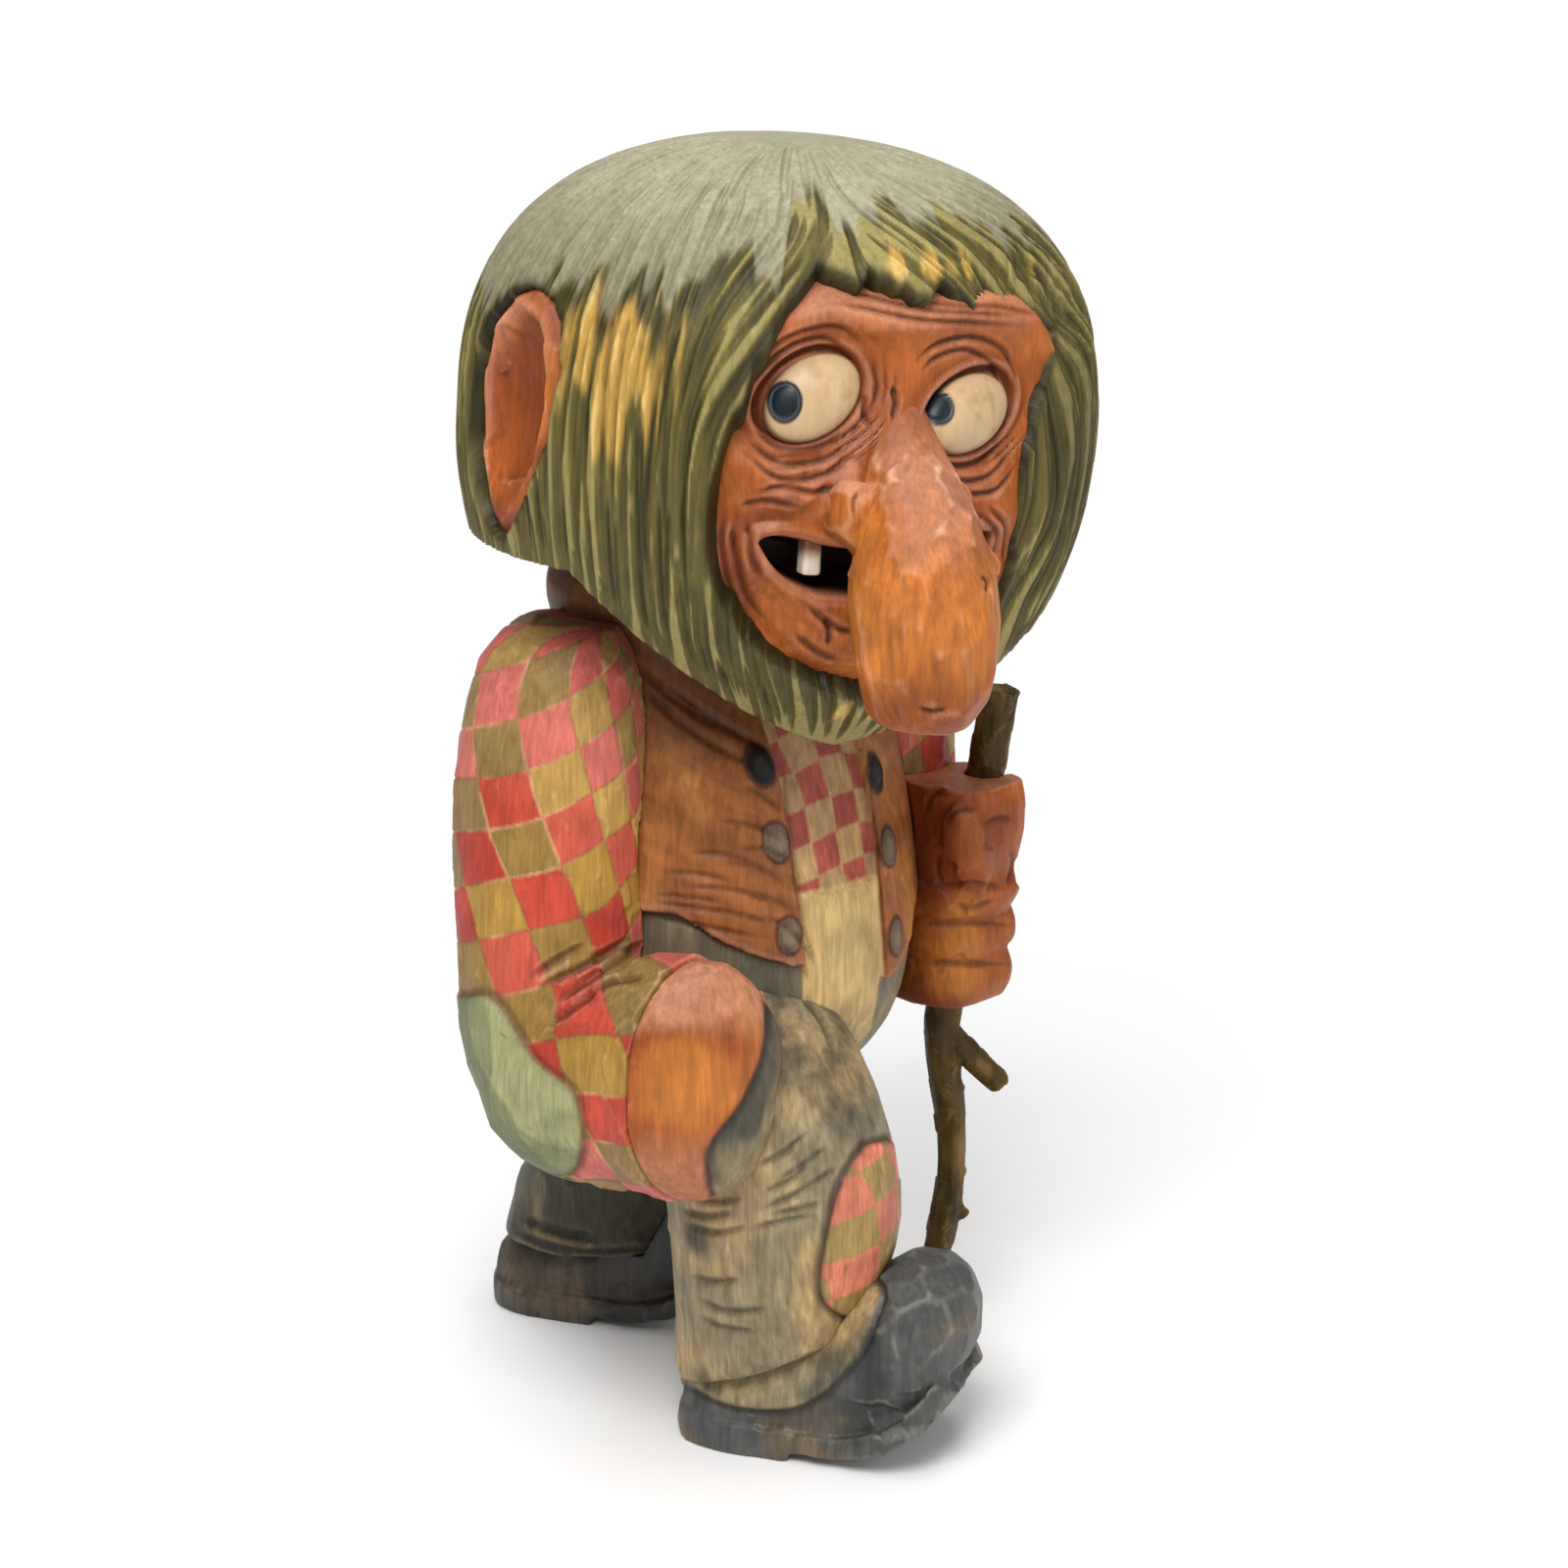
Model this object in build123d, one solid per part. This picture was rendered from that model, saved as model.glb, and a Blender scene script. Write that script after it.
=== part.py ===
"""Carved wooden troll striding along with a crooked staff, glued up from separately carved blocks.

Millimetres, +Z up. The trunk faces -Y, so the right side of the figure lies at -X.
The legs and shoes are laid out in a walking frame, which is turned a little to the left of the trunk.
Every block is carved in the figure's frame, and the finished set is moved at the end,
so that the origin is the middle of the bounding box at floor level.
"""

import os
from math import atan, atan2, copysign, cos, degrees, pi, sin, sqrt

from build123d import *

# Head: an egg standing on a slanting neck face
HEAD_HALF_WIDTH = 73.0
HEAD_HALF_DEPTH = 70.0
HEAD_RISE = 61.5
HEAD_DROP = 80.0
CROWN_POWER = 2.4
JAW_POWER = 2.15
HEAD_BACK = 2.0
HEAD_LEVEL = 241.0
HEAD_YAW = -16.0
HEAD_ROLL = 4.0
NECK_FACE_DROP = 47.0
NECK_FACE_SLOPE = 30.0
NECK_KEEL_SLOPE = 25.0
HAIR_HEM_DROP = 30.0

# Face: a hollow cut into the hair, with the features carved on it or let into it
HAIR_DEPTH = 7.0
FACE_HALF_WIDTH = 38.5
FACE_TOP = 37.0
FACE_BOTTOM = 58.0
FRINGE_LOCKS = 6
FRINGE_LOCK_LENGTH = 8.0
EYE_HALF_WIDTH = 10.6
EYE_HALF_HEIGHT = 9.4
EYE_PROUD = 3.5
EYE_RIM = 1.3
EYE_PEG = 6.0
EYE_TOE_OUT = 17.0
EYE_UPTURN = 12.0
RIGHT_EYE = (-21.0, 12.5)
LEFT_EYE = (17.5, 9.0)
SOCKET_MARGIN = 4.5
SOCKET_DEPTH = 2.5
BROW_HALF_LENGTH = 17.0
BROW_THICKNESS = 4.5
CHEEK_RADIUS = 11.0
CHEEK_LEVEL = -7.0
CHIN_RADIUS = 15.0
CHIN_LEVEL = -44.0
MOUTH_HALF_WIDTH = 29.0
MOUTH_LEVEL = -18.0
MOUTH_GAPE = 15.0
MOUTH_DEPTH = 12.0
TOOTH_WIDTH = 4.4
TOOTH_LENGTH = 6.5
TOOTH_ROOT = 5.0
TOOTH_OFFSET = -19.0

# Ears: hollowed drops let into the sides of the head
EAR_HALF_HEIGHT = 28.0
EAR_HALF_WIDTH = 17.0
EAR_HALF_THICKNESS = 10.0
EAR_RIM = 4.5
EAR_TURN = 8.0
EAR_TILT = 12.0
EAR_FORWARD = 9.0
EAR_LEVEL = 1.0
EAR_STAND_OUT = 0.5
EAR_CLEARANCE = 0.3

# Nose: a drooping pear glued on a flat seat between the eyes
NOSE_ROOT_LEVEL = 12.0
NOSE_LENGTH = 68.0
NOSE_REACH = 24.0
NOSE_HALF_WIDTH = 16.0
NOSE_SINK = 7.0
NOSE_SEAT_DEPTH = 9.0
WART_RADIUS = 3.6

# Trunk: belly block with the waistcoat standing proud of the trousers and the shirt
TRUNK_BACK = 22.0
BELLY_HALF_WIDTH = 46.5
BELLY_HALF_DEPTH = 44.5
CROTCH_LEVEL = 76.0
BELLY_LEVEL = 118.0
COLLAR_LEVEL = 236.0
VEST_THICKNESS = 2.0
SHIRT_RECESS = 1.2
VEST_GAP = 24.5
VEST_GAP_OFFSET = -1.0
VEST_GAP_LEAN = 1.0
VEST_HEM = 130.0
VEST_POINT_SLOPE = 38.0
VEST_LEFT_POINT_SLOPE = 52.0
WAIST_LEVEL = 132.0
BUTTON_HALF_WIDTH = 3.2
BUTTON_HALF_HEIGHT = 4.6
BUTTON_PROUD = 0.9
BUTTON_ROOT = 2.0
BUTTON_MARGIN = 4.0
BUTTON_LEVELS = (163.0, 146.0, 124.5)
BUTTON_LEFT_DROP = 7.0

# Arms
SHOULDER_LEVEL = 172.0
SHOULDER_SPREAD = 49.0
LEFT_SHOULDER_SPREAD = 46.0
SHOULDER_BACK = 24.0
ARM_RADIUS = 21.0
ELBOW_LEVEL = 95.0
CUFF_HALF_HEIGHT = 29.0
CUFF_FORWARD = 21.0
LEFT_ELBOW_LEVEL = 117.0
LEFT_CUFF_BACK = 10.0

# Right hand, half in the pocket
HAND_LENGTH = 15.0
HAND_INWARD = 6.0

# Left fist, four fingers and a thumb round the staff
FIST_HALF_WIDTH = 14.0
FIST_HALF_DEPTH = 14.5
FIST_OFFSET = (-6.0, -1.0)
FINGER_LEVELS = (93.0, 104.5, 115.0, 124.5, 147.0)
FINGER_GROOVE = 1.6
WRIST_RADIUS = 12.0
THUMB_RADIUS = 6.0
THUMB_HALF_LENGTH = 12.0

# Legs, in the walking frame
STRIDE_TURN = 30.0
HIP_LEVEL = 112.0
KNEE_LEVEL = 68.0
LEG_RADIUS = 23.0
KNEE_RADIUS = 28.0
RIGHT_HEM_LEVEL = 21.0
RIGHT_HEM_SLOPE = 21.0
LEFT_HEM_LEVEL = 20.0
LEFT_HEM_SLOPE = 3.0

# Shoes, each with a heel, a flat waist and a sprung toe
SHOE_LENGTH = 70.5
SHOE_HALF_WIDTH = 19.0
SHOE_HEIGHT = 48.0
SOLE_THICKNESS = 5.0
SOLE_WELT = 1.8
HEEL_LENGTH = 30.5
HEEL_HEIGHT = 2.3
SOLE_FLAT = 37.5
TOE_SPRING_RADIUS = 37.5
RIGHT_FOOT = (-21.0, 16.5)
LEFT_FOOT = (38.0, 88.0)

# Staff
STAFF_RADIUS = 4.7
STAFF_CLEARANCE = 0.35
STAFF_SIDES = 8
STAFF_TOP = 168.0
STAFF_GRIP = (54.3, -6.3, 120.0)
STAFF_LEAN = (0.115, -0.104)
STAFF_STRAIGHT_END = 84.0
STAFF_FOOT = (46.5, 0.5)
STAFF_FOOT_RADIUS = 2.8
TWIG_RADIUS = 2.8
TWIG_LENGTH = 15.0

# Joinery
DOWEL_SIDES = 8
DOWEL_CLEARANCE = 0.1
NECK_DOWEL = (7.0, 44.0)
LIMB_DOWEL = (4.0, 30.0)
SMALL_DOWEL = (3.0, 16.0)
ANKLE_DOWEL = (4.0, 24.0)
WRIST_DOWEL = (2.0, 14.0)

RING_POINTS = 8
FACETS = 12
FAR = 400.0


def oval(plane, half_x, half_y, power=2.0):
    """Closed smooth outline on a plane, elliptical at power 2 and boxier above it."""
    points = []
    for k in range(RING_POINTS):
        turn = 2 * pi * k / RING_POINTS
        across = copysign(abs(cos(turn)) ** (2 / power), cos(turn))
        along = copysign(abs(sin(turn)) ** (2 / power), sin(turn))
        points.append((half_x * across, half_y * along))
    return plane * make_face(Spline(*points, periodic=True))


def facet_loft(rings):
    """Solid with flat chisel facets through level rings, each (x, y, z, half_x, half_y)."""
    faces = []
    for x, y, z, half_x, half_y in rings:
        points = []
        for k in range(FACETS):
            turn = 2 * pi * k / FACETS
            points.append((half_x * cos(turn), half_y * sin(turn)))
        faces.append(Plane((x, y, z)) * make_face(Polyline(*points, close=True)))
    return loft(faces, ruled=True)


def level_loft(rings, power=2.0):
    """Solid through level ovals, each (x, y, z, half_x, half_y)."""
    return loft([oval(Plane((x, y, z)), a, b, power) for x, y, z, a, b in rings])


def upright_loft(rings, power=2.0):
    """Solid through upright ovals that face -Y, each (x, y, z, half_x, half_z)."""
    faces = []
    for x, y, z, half_x, half_z in rings:
        faces.append(oval(Plane((x, y, z), x_dir=(1, 0, 0), z_dir=(0, -1, 0)), half_x, half_z, power))
    return loft(faces)


def ellipsoid(centre, half_x, half_y, half_z):
    return Pos(*centre) * scale(Sphere(1), by=(half_x, half_y, half_z))


def below(level, slope=0.0, back=0.0):
    """Everything under a plane that rises towards +Y by a slope in degrees."""
    block = Pos(0, 0, -FAR / 2) * Box(FAR, FAR, FAR)
    return Pos(0, back, level) * Rot(slope, 0, 0) * block


def dowel(place, size, clearance=0.0):
    """Whittled pin along the Z axis of a place, halfway into the pieces on either side."""
    radius, length = size
    outline = RegularPolygon(radius + clearance, DOWEL_SIDES)
    return place * extrude(outline, length / 2 + clearance, both=True)


# Head

HEAD_PLACE = Pos(0, HEAD_BACK, HEAD_LEVEL) * Rot(0, 0, HEAD_YAW) * Rot(0, HEAD_ROLL, 0)
HEAD_SHARES = (-0.97, -0.86, -0.66, -0.36, 0.0, 0.34, 0.62, 0.82, 0.94, 0.995)
FRONT = Plane((0, 0, 0), x_dir=(1, 0, 0), z_dir=(0, -1, 0))


def head_blank(inset):
    """The egg of the head, shrunk by an inset all round."""
    rings = []
    for share in HEAD_SHARES:
        reach = (HEAD_RISE if share > 0 else HEAD_DROP) - inset
        power = CROWN_POWER if share > 0 else JAW_POWER
        spread = (1 - abs(share) ** power) ** (1 / power)
        half_x = (HEAD_HALF_WIDTH - inset) * spread
        half_y = (HEAD_HALF_DEPTH - inset) * spread
        rings.append((0, 0, share * reach, half_x, half_y))
    return level_loft(rings)


def face_y(x, z):
    """How far forward the skin of the face stands at a place on it."""
    reach = (HEAD_RISE if z > 0 else HEAD_DROP) - HAIR_DEPTH
    inside = 1 - (abs(x) / (HEAD_HALF_WIDTH - HAIR_DEPTH)) ** 2 - (abs(z) / reach) ** 2
    return -(HEAD_HALF_DEPTH - HAIR_DEPTH) * sqrt(inside)


NECK_FACE = Pos(0, 0, -NECK_FACE_DROP) * Rot(NECK_FACE_SLOPE, 0, 0)


def above_neck_face():
    """Wedge over the two faces of the neck joint, which meet in a keel under the chin and end at a level hem."""
    block = Pos(0, 0, FAR / 2) * Box(FAR, FAR, FAR)
    wedge = NECK_FACE * (Rot(0, NECK_KEEL_SLOPE, 0) * block & Rot(0, -NECK_KEEL_SLOPE, 0) * block)
    return wedge + Pos(0, 0, -HAIR_HEM_DROP) * block


def face_outline():
    """Front outline of the hollow for the face, with the pointed locks of the fringe along its top."""
    w, low, high = FACE_HALF_WIDTH, -FACE_BOTTOM, FACE_TOP
    part = (-0.4 * w, high)
    temple = (0.88 * w, 0.86 * high)
    cheek = Spline(
        part, (-0.8 * w, 0.5 * high), (-w, -0.2 * high), (-0.74 * w, 0.66 * low),
        (0, low), (0.76 * w, 0.68 * low), (w, -0.3 * high), temple,
    )
    fringe = [temple]
    for k in range(FRINGE_LOCKS):
        tip = (k + 0.2) / FRINGE_LOCKS
        root = (k + 0.75) / FRINGE_LOCKS
        for share, drop in ((tip, 0.6 * FRINGE_LOCK_LENGTH), (root, -0.4 * FRINGE_LOCK_LENGTH)):
            x = temple[0] + (part[0] - temple[0]) * share
            z = temple[1] + (part[1] - temple[1]) * share
            fringe.append((x, z - drop))
    fringe.append(part)
    return make_face(cheek + Polyline(*fringe))


def eye_middle(side):
    return RIGHT_EYE if side < 0 else LEFT_EYE


def eye_place(side):
    """On the skin of the face, with the Y axis pointing into the eye."""
    x, z = eye_middle(side)
    return Pos(x, face_y(x, z), z) * Rot(0, 0, side * EYE_TOE_OUT) * Rot(-EYE_UPTURN, 0, 0)


EYE_DOME = ((0.0, 1.0), (0.5, 0.84), (0.85, 0.52), (1.0, 0.12))


def eye(side):
    """Oval peg with a domed front, which starts a little under the skin."""
    rings = [(0, 0, -EYE_PEG, 0.9 * EYE_HALF_WIDTH, 0.9 * EYE_HALF_HEIGHT)]
    for share, swell in EYE_DOME:
        level = share * (EYE_PROUD + EYE_RIM) - EYE_RIM
        rings.append((0, 0, level, swell * EYE_HALF_WIDTH, swell * EYE_HALF_HEIGHT))
    return eye_place(side) * Rot(90, 0, 0) * facet_loft(rings)


def socket(side):
    """Shallow dish round an eye."""
    wide = EYE_HALF_WIDTH + SOCKET_MARGIN
    tall = EYE_HALF_HEIGHT + SOCKET_MARGIN
    return eye_place(side) * ellipsoid((0, -SOCKET_DEPTH, 0), wide, 2 * SOCKET_DEPTH, tall)


def brow(side):
    """Swollen fold that overhangs an eye."""
    x, level = eye_middle(side)
    z = level + EYE_HALF_HEIGHT + SOCKET_MARGIN
    fold = ellipsoid((0, 0, 0), BROW_HALF_LENGTH, BROW_THICKNESS, BROW_THICKNESS)
    return Pos(x, face_y(x, z) + 0.3 * BROW_THICKNESS, z) * Rot(0, side * 10, 0) * Rot(0, 0, side * 16) * fold


def cheek(side):
    """Round cheek at a corner of the grin."""
    x = side * (MOUTH_HALF_WIDTH - 0.25 * CHEEK_RADIUS)
    y = face_y(x, CHEEK_LEVEL) + 0.5 * CHEEK_RADIUS
    return ellipsoid((x, y, CHEEK_LEVEL), CHEEK_RADIUS, 0.9 * CHEEK_RADIUS, 0.8 * CHEEK_RADIUS)


def chin():
    y = face_y(0, CHIN_LEVEL) + 0.6 * CHIN_RADIUS
    return ellipsoid((0, y, CHIN_LEVEL), 1.5 * CHIN_RADIUS, CHIN_RADIUS, 0.7 * CHIN_RADIUS)


def mouth():
    """Open grin with its corners up, cut straight back into the face."""
    w, gape = MOUTH_HALF_WIDTH, MOUTH_GAPE
    upper = ThreePointArc((-w, 0), (0, -0.2 * gape), (w, 0))
    lower = ThreePointArc((w, 0), (0, -1.2 * gape), (-w, 0))
    back = face_y(0, MOUTH_LEVEL) + MOUTH_DEPTH
    lips = Pos(0, back, MOUTH_LEVEL) * (FRONT * make_face(upper + lower))
    return extrude(lips, FAR / 4)


def tooth(clearance=0.0):
    """Square peg let into the upper jaw and hanging into the mouth."""
    width = TOOTH_WIDTH + 2 * clearance
    y = face_y(TOOTH_OFFSET, MOUTH_LEVEL) + 0.4 * MOUTH_DEPTH
    lip = MOUTH_LEVEL - 0.15 * MOUTH_GAPE
    peg = Box(width, width, TOOTH_LENGTH + TOOTH_ROOT)
    peg = chamfer(peg.edges().filter_by(Axis.Z), 0.15 * TOOTH_WIDTH)
    return Pos(TOOTH_OFFSET, y, lip + (TOOTH_ROOT - TOOTH_LENGTH) / 2) * peg


EAR_SWELL = ((-1.0, 0.22), (-0.82, 0.48), (-0.45, 0.78), (0.1, 1.0), (0.6, 0.92), (0.88, 0.6), (1.0, 0.26))


def ear_drop(inset):
    """Drop shape of an ear, widest above its middle."""
    rings = []
    for share, swell in EAR_SWELL:
        level = share * (EAR_HALF_HEIGHT - inset)
        rings.append((0, 0, level, (EAR_HALF_THICKNESS - 0.3 * inset) * swell, (EAR_HALF_WIDTH - inset) * swell))
    return facet_loft(rings)


def ear_mouth():
    """Room in front of an ear, as wide as its drop."""
    half = [((EAR_HALF_WIDTH + EAR_CLEARANCE) * swell, share * EAR_HALF_HEIGHT) for share, swell in EAR_SWELL]
    outline = half + [(-y, z) for y, z in reversed(half)]
    return extrude(make_face(Plane.YZ * Polyline(*outline, close=True)), 3 * EAR_HALF_THICKNESS)


def ear_place(side):
    """Middle of an ear, with its X axis pointing out of the hollow."""
    out = HEAD_HALF_WIDTH + EAR_STAND_OUT - EAR_HALF_THICKNESS
    turn = -EAR_TURN if side > 0 else 180 + EAR_TURN
    return Pos(side * out, -EAR_FORWARD, EAR_LEVEL) * Rot(0, 0, turn) * Rot(side * EAR_TILT, 0, 0)


def ear(side):
    hollow = Pos(0.75 * EAR_HALF_THICKNESS, 0, 0) * ear_drop(EAR_RIM)
    return ear_place(side) * (ear_drop(0) - hollow)


NOSE_SWELL = ((0.0, 0.36), (0.22, 0.6), (0.42, 0.88), (0.6, 1.0), (0.78, 0.96), (0.92, 0.8), (0.99, 0.46))


def nose_line(share):
    """Middle of the nose from its root, at share 0, to its tip, at share 1."""
    forward = NOSE_REACH * sin(0.5 * pi * min(1, 1.08 * share))
    y = face_y(0, NOSE_ROOT_LEVEL) + NOSE_SINK - forward
    return Vector(0, y, NOSE_ROOT_LEVEL - NOSE_LENGTH * share)


def nose():
    """Pear-shaped nose with a wart on its left side, cut flat where it is glued to the face."""
    rings = []
    for share, swell in NOSE_SWELL:
        heading = nose_line(min(1, share + 0.05)) - nose_line(max(0, share - 0.05))
        plane = Plane(nose_line(share), x_dir=(1, 0, 0), z_dir=-heading)
        rings.append(oval(plane, NOSE_HALF_WIDTH * swell, 0.92 * NOSE_HALF_WIDTH * swell))
    side = nose_line(0.5) + Vector(0.93 * NOSE_HALF_WIDTH, 0, 0)
    wart = Pos(side) * Sphere(WART_RADIUS)
    seat = Pos(0, face_y(0, NOSE_ROOT_LEVEL) + NOSE_SEAT_DEPTH + FAR / 2, 0) * Box(FAR, FAR, FAR)
    return loft(rings) + wart - seat


def nose_dowel_place():
    """Square to the seat of the nose, a little under its root."""
    y = face_y(0, NOSE_ROOT_LEVEL) + NOSE_SEAT_DEPTH
    return Pos(0, y, nose_line(0.16).Z) * Rot(90, 0, 0)


def neck_dowel_place():
    """Square to the neck face, in the middle of the neck."""
    back = TRUNK_BACK - HEAD_BACK
    rise = back * sin(NECK_FACE_SLOPE * pi / 180) / cos(NECK_FACE_SLOPE * pi / 180)
    return HEAD_PLACE * Pos(0, back, rise - NECK_FACE_DROP) * Rot(NECK_FACE_SLOPE, 0, 0)


def head():
    hair = head_blank(0) - extrude(FRONT * face_outline(), FAR / 2)
    skin = head_blank(HAIR_DEPTH) + chin()
    for side in (-1, 1):
        skin = skin + cheek(side) + brow(side)
    for side in (-1, 1):
        skin = skin - socket(side)
    return (hair + skin - mouth()) & above_neck_face()


# Trunk

# Level rings of the trunk: height, half-width and half-depth as shares of the belly, and shift to the back
TRUNK_RINGS = (
    (CROTCH_LEVEL, 0.58, 0.60, 4),
    (CROTCH_LEVEL + 8, 0.81, 0.84, 2),
    (CROTCH_LEVEL + 22, 0.96, 1.00, 0),
    (BELLY_LEVEL, 1.00, 1.00, -2),
    (BELLY_LEVEL + 22, 0.98, 0.96, -1),
    (SHOULDER_LEVEL - 12, 0.94, 0.88, 1),
    (SHOULDER_LEVEL + 6, 0.87, 0.77, 3),
    (SHOULDER_LEVEL + 20, 0.87, 0.74, 4),
    (SHOULDER_LEVEL + 34, 0.77, 0.66, 4),
    (COLLAR_LEVEL, 0.6, 0.57, 4),
)


def trunk_blank(inset):
    """The body block, shrunk by an inset all round, or grown by a negative one."""
    rings = []
    ends = {CROTCH_LEVEL: inset, COLLAR_LEVEL: -inset}
    for level, wide, deep, shift in TRUNK_RINGS:
        half_x = BELLY_HALF_WIDTH * wide - inset
        half_y = BELLY_HALF_DEPTH * deep - inset
        rings.append((0, TRUNK_BACK + shift, level + ends.get(level, 0), half_x, half_y))
    return level_loft(rings)


def vest_opening(width):
    """Slightly leaning upright strip at the front of the waistcoat."""
    strip = Pos(0, -FAR / 2, 0) * Box(width, FAR, FAR)
    front = TRUNK_BACK - 0.25 * BELLY_HALF_DEPTH
    return Pos(VEST_GAP_OFFSET, front, BELLY_LEVEL) * Rot(0, -VEST_GAP_LEAN, 0) * strip


def below_vest():
    """Everything under the hem, which drops to a point on either side of the opening, lower on the left."""
    start = 0.2 * (TRUNK_BACK - BELLY_HALF_DEPTH)
    left = Pos(VEST_GAP_OFFSET + FAR / 2, 0, 0) * Box(FAR, 2 * FAR, 2 * FAR)
    points = below(VEST_HEM, VEST_POINT_SLOPE, start) - left
    points = points + (below(VEST_HEM, VEST_LEFT_POINT_SLOPE, start) & left)
    return below(VEST_HEM) & points


def trunk_front(x, level):
    """How far forward the waistcoat stands at a place on it, and how far it turns away from the front there."""
    for low, high in zip(TRUNK_RINGS, TRUNK_RINGS[1:]):
        if low[0] <= level <= high[0]:
            share = (level - low[0]) / (high[0] - low[0])
            wide, deep, shift = (a + (b - a) * share for a, b in zip(low[1:], high[1:]))
    half_x = BELLY_HALF_WIDTH * wide
    half_y = BELLY_HALF_DEPTH * deep
    rise = sqrt(1 - (x / half_x) ** 2)
    return TRUNK_BACK + shift - half_y * rise, degrees(atan2(x * half_y, half_x**2 * rise))


def button(side, level):
    """Oval boss on the edge of the waistcoat, square to it."""
    lean = sin(VEST_GAP_LEAN * pi / 180) * (level - BELLY_LEVEL)
    x = VEST_GAP_OFFSET - lean + side * (VEST_GAP / 2 + BUTTON_MARGIN)
    y, turn = trunk_front(x, level)
    leaning = trunk_front(x, level + BUTTON_HALF_HEIGHT)[0] - y
    pitch = degrees(atan(leaning / BUTTON_HALF_HEIGHT))
    place = Pos(x, y, level) * Rot(0, 0, turn) * Rot(-pitch, 0, 0) * Pos(0, BUTTON_ROOT, 0)
    return extrude(place * (FRONT * Ellipse(BUTTON_HALF_WIDTH, BUTTON_HALF_HEIGHT)), BUTTON_ROOT + BUTTON_PROUD)


def trunk():
    """Block with the skin of the waistcoat cut back to the trousers and the shirt front."""
    trousers = trunk_blank(VEST_THICKNESS)
    shirt = trunk_blank(VEST_THICKNESS + SHIRT_RECESS)
    solid = trunk_blank(0) - (below_vest() - trousers) - (vest_opening(VEST_GAP) - trousers)
    solid = solid - (vest_opening(VEST_GAP - SHIRT_RECESS) - below(WAIST_LEVEL) - shirt)
    for side in (-1, 1):
        for level in BUTTON_LEVELS:
            solid = solid + button(side, level - max(0, side) * BUTTON_LEFT_DROP)
    return solid - HEAD_PLACE * above_neck_face()


# Arms and hands


def upper_arm(x, elbow_level, elbow_forward):
    """Sleeve from the shoulder, at a place across the figure, down to the elbow."""
    out = copysign(1, x)
    drop = SHOULDER_LEVEL - elbow_level
    r = ARM_RADIUS
    rings = (
        (x - 6 * out, SHOULDER_BACK, SHOULDER_LEVEL + 23, 0.4 * r, 0.5 * r),
        (x - 2 * out, SHOULDER_BACK, SHOULDER_LEVEL + 16, 0.76 * r, 0.86 * r),
        (x, SHOULDER_BACK, SHOULDER_LEVEL, 0.95 * r, 1.05 * r),
        (x + 2 * out, SHOULDER_BACK, SHOULDER_LEVEL - 0.3 * drop, r, 1.1 * r),
        (x + 3 * out, SHOULDER_BACK - 0.1 * elbow_forward, SHOULDER_LEVEL - 0.6 * drop, r, 1.1 * r),
        (x + 5 * out, SHOULDER_BACK - 0.4 * elbow_forward, elbow_level + 5, 0.95 * r, 1.1 * r),
        (x + 5 * out, SHOULDER_BACK - 0.7 * elbow_forward, elbow_level - 11, 0.8 * r, 0.95 * r),
        (x + 5 * out, SHOULDER_BACK - elbow_forward, elbow_level - 21, 0.45 * r, 0.6 * r),
    )
    return level_loft(rings)


RIGHT_CUFF = (1 - SHOULDER_SPREAD, -CUFF_FORWARD, ELBOW_LEVEL + 2)


def right_arm():
    """Sleeve with a bent elbow, whose wide cuff ends on the hand."""
    x = SHOULDER_SPREAD
    r = CUFF_HALF_HEIGHT
    fore = upright_loft((
        (-x - 7, SHOULDER_BACK + 6, ELBOW_LEVEL, 0.57 * ARM_RADIUS, 0.55 * r),
        (-x - 6, SHOULDER_BACK - 6, ELBOW_LEVEL - 2, 0.9 * ARM_RADIUS, 0.83 * r),
        (-x - 3, 0.1 * SHOULDER_BACK, ELBOW_LEVEL - 1, 0.95 * ARM_RADIUS, 0.95 * r),
        (*RIGHT_CUFF, 0.95 * ARM_RADIUS, r),
    ))
    return upper_arm(-SHOULDER_SPREAD, ELBOW_LEVEL, 12) + fore


def left_arm():
    """Sleeve that reaches forward to the fist."""
    x = LEFT_SHOULDER_SPREAD
    r = ARM_RADIUS
    fore = upright_loft((
        (x + 4, SHOULDER_BACK + 14, LEFT_ELBOW_LEVEL, 0.5 * r, 0.55 * r),
        (x + 3, SHOULDER_BACK + 4, LEFT_ELBOW_LEVEL, 0.9 * r, r),
        (x + 1, 0.5 * SHOULDER_BACK, LEFT_ELBOW_LEVEL + 1, 0.9 * r, 1.1 * r),
        (x, LEFT_CUFF_BACK, LEFT_ELBOW_LEVEL + 2, 0.85 * r, 1.1 * r),
    ))
    return upper_arm(LEFT_SHOULDER_SPREAD, LEFT_ELBOW_LEVEL, 4) + fore


def right_hand():
    """Back of the hand, which fills the cuff and rounds off into the pocket."""
    x, y, z = RIGHT_CUFF
    rings = []
    for share, wide, tall in ((0, 0.9, 0.96), (0.25, 0.88, 0.98), (0.58, 0.76, 0.9), (0.86, 0.5, 0.66), (1, 0.2, 0.3)):
        place = (x + share * HAND_INWARD, y - share * HAND_LENGTH, z + share)
        rings.append((*place, wide * ARM_RADIUS, tall * CUFF_HALF_HEIGHT))
    return upright_loft(rings)


def staff_axis(level):
    """Point on the straight upper stretch of the staff at a level."""
    x, y, z = STAFF_GRIP
    return Vector(x + STAFF_LEAN[0] * (level - z), y + STAFF_LEAN[1] * (level - z), level)


def staff_plane(level):
    return Plane(staff_axis(level), z_dir=(STAFF_LEAN[0], STAFF_LEAN[1], 1))


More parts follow.
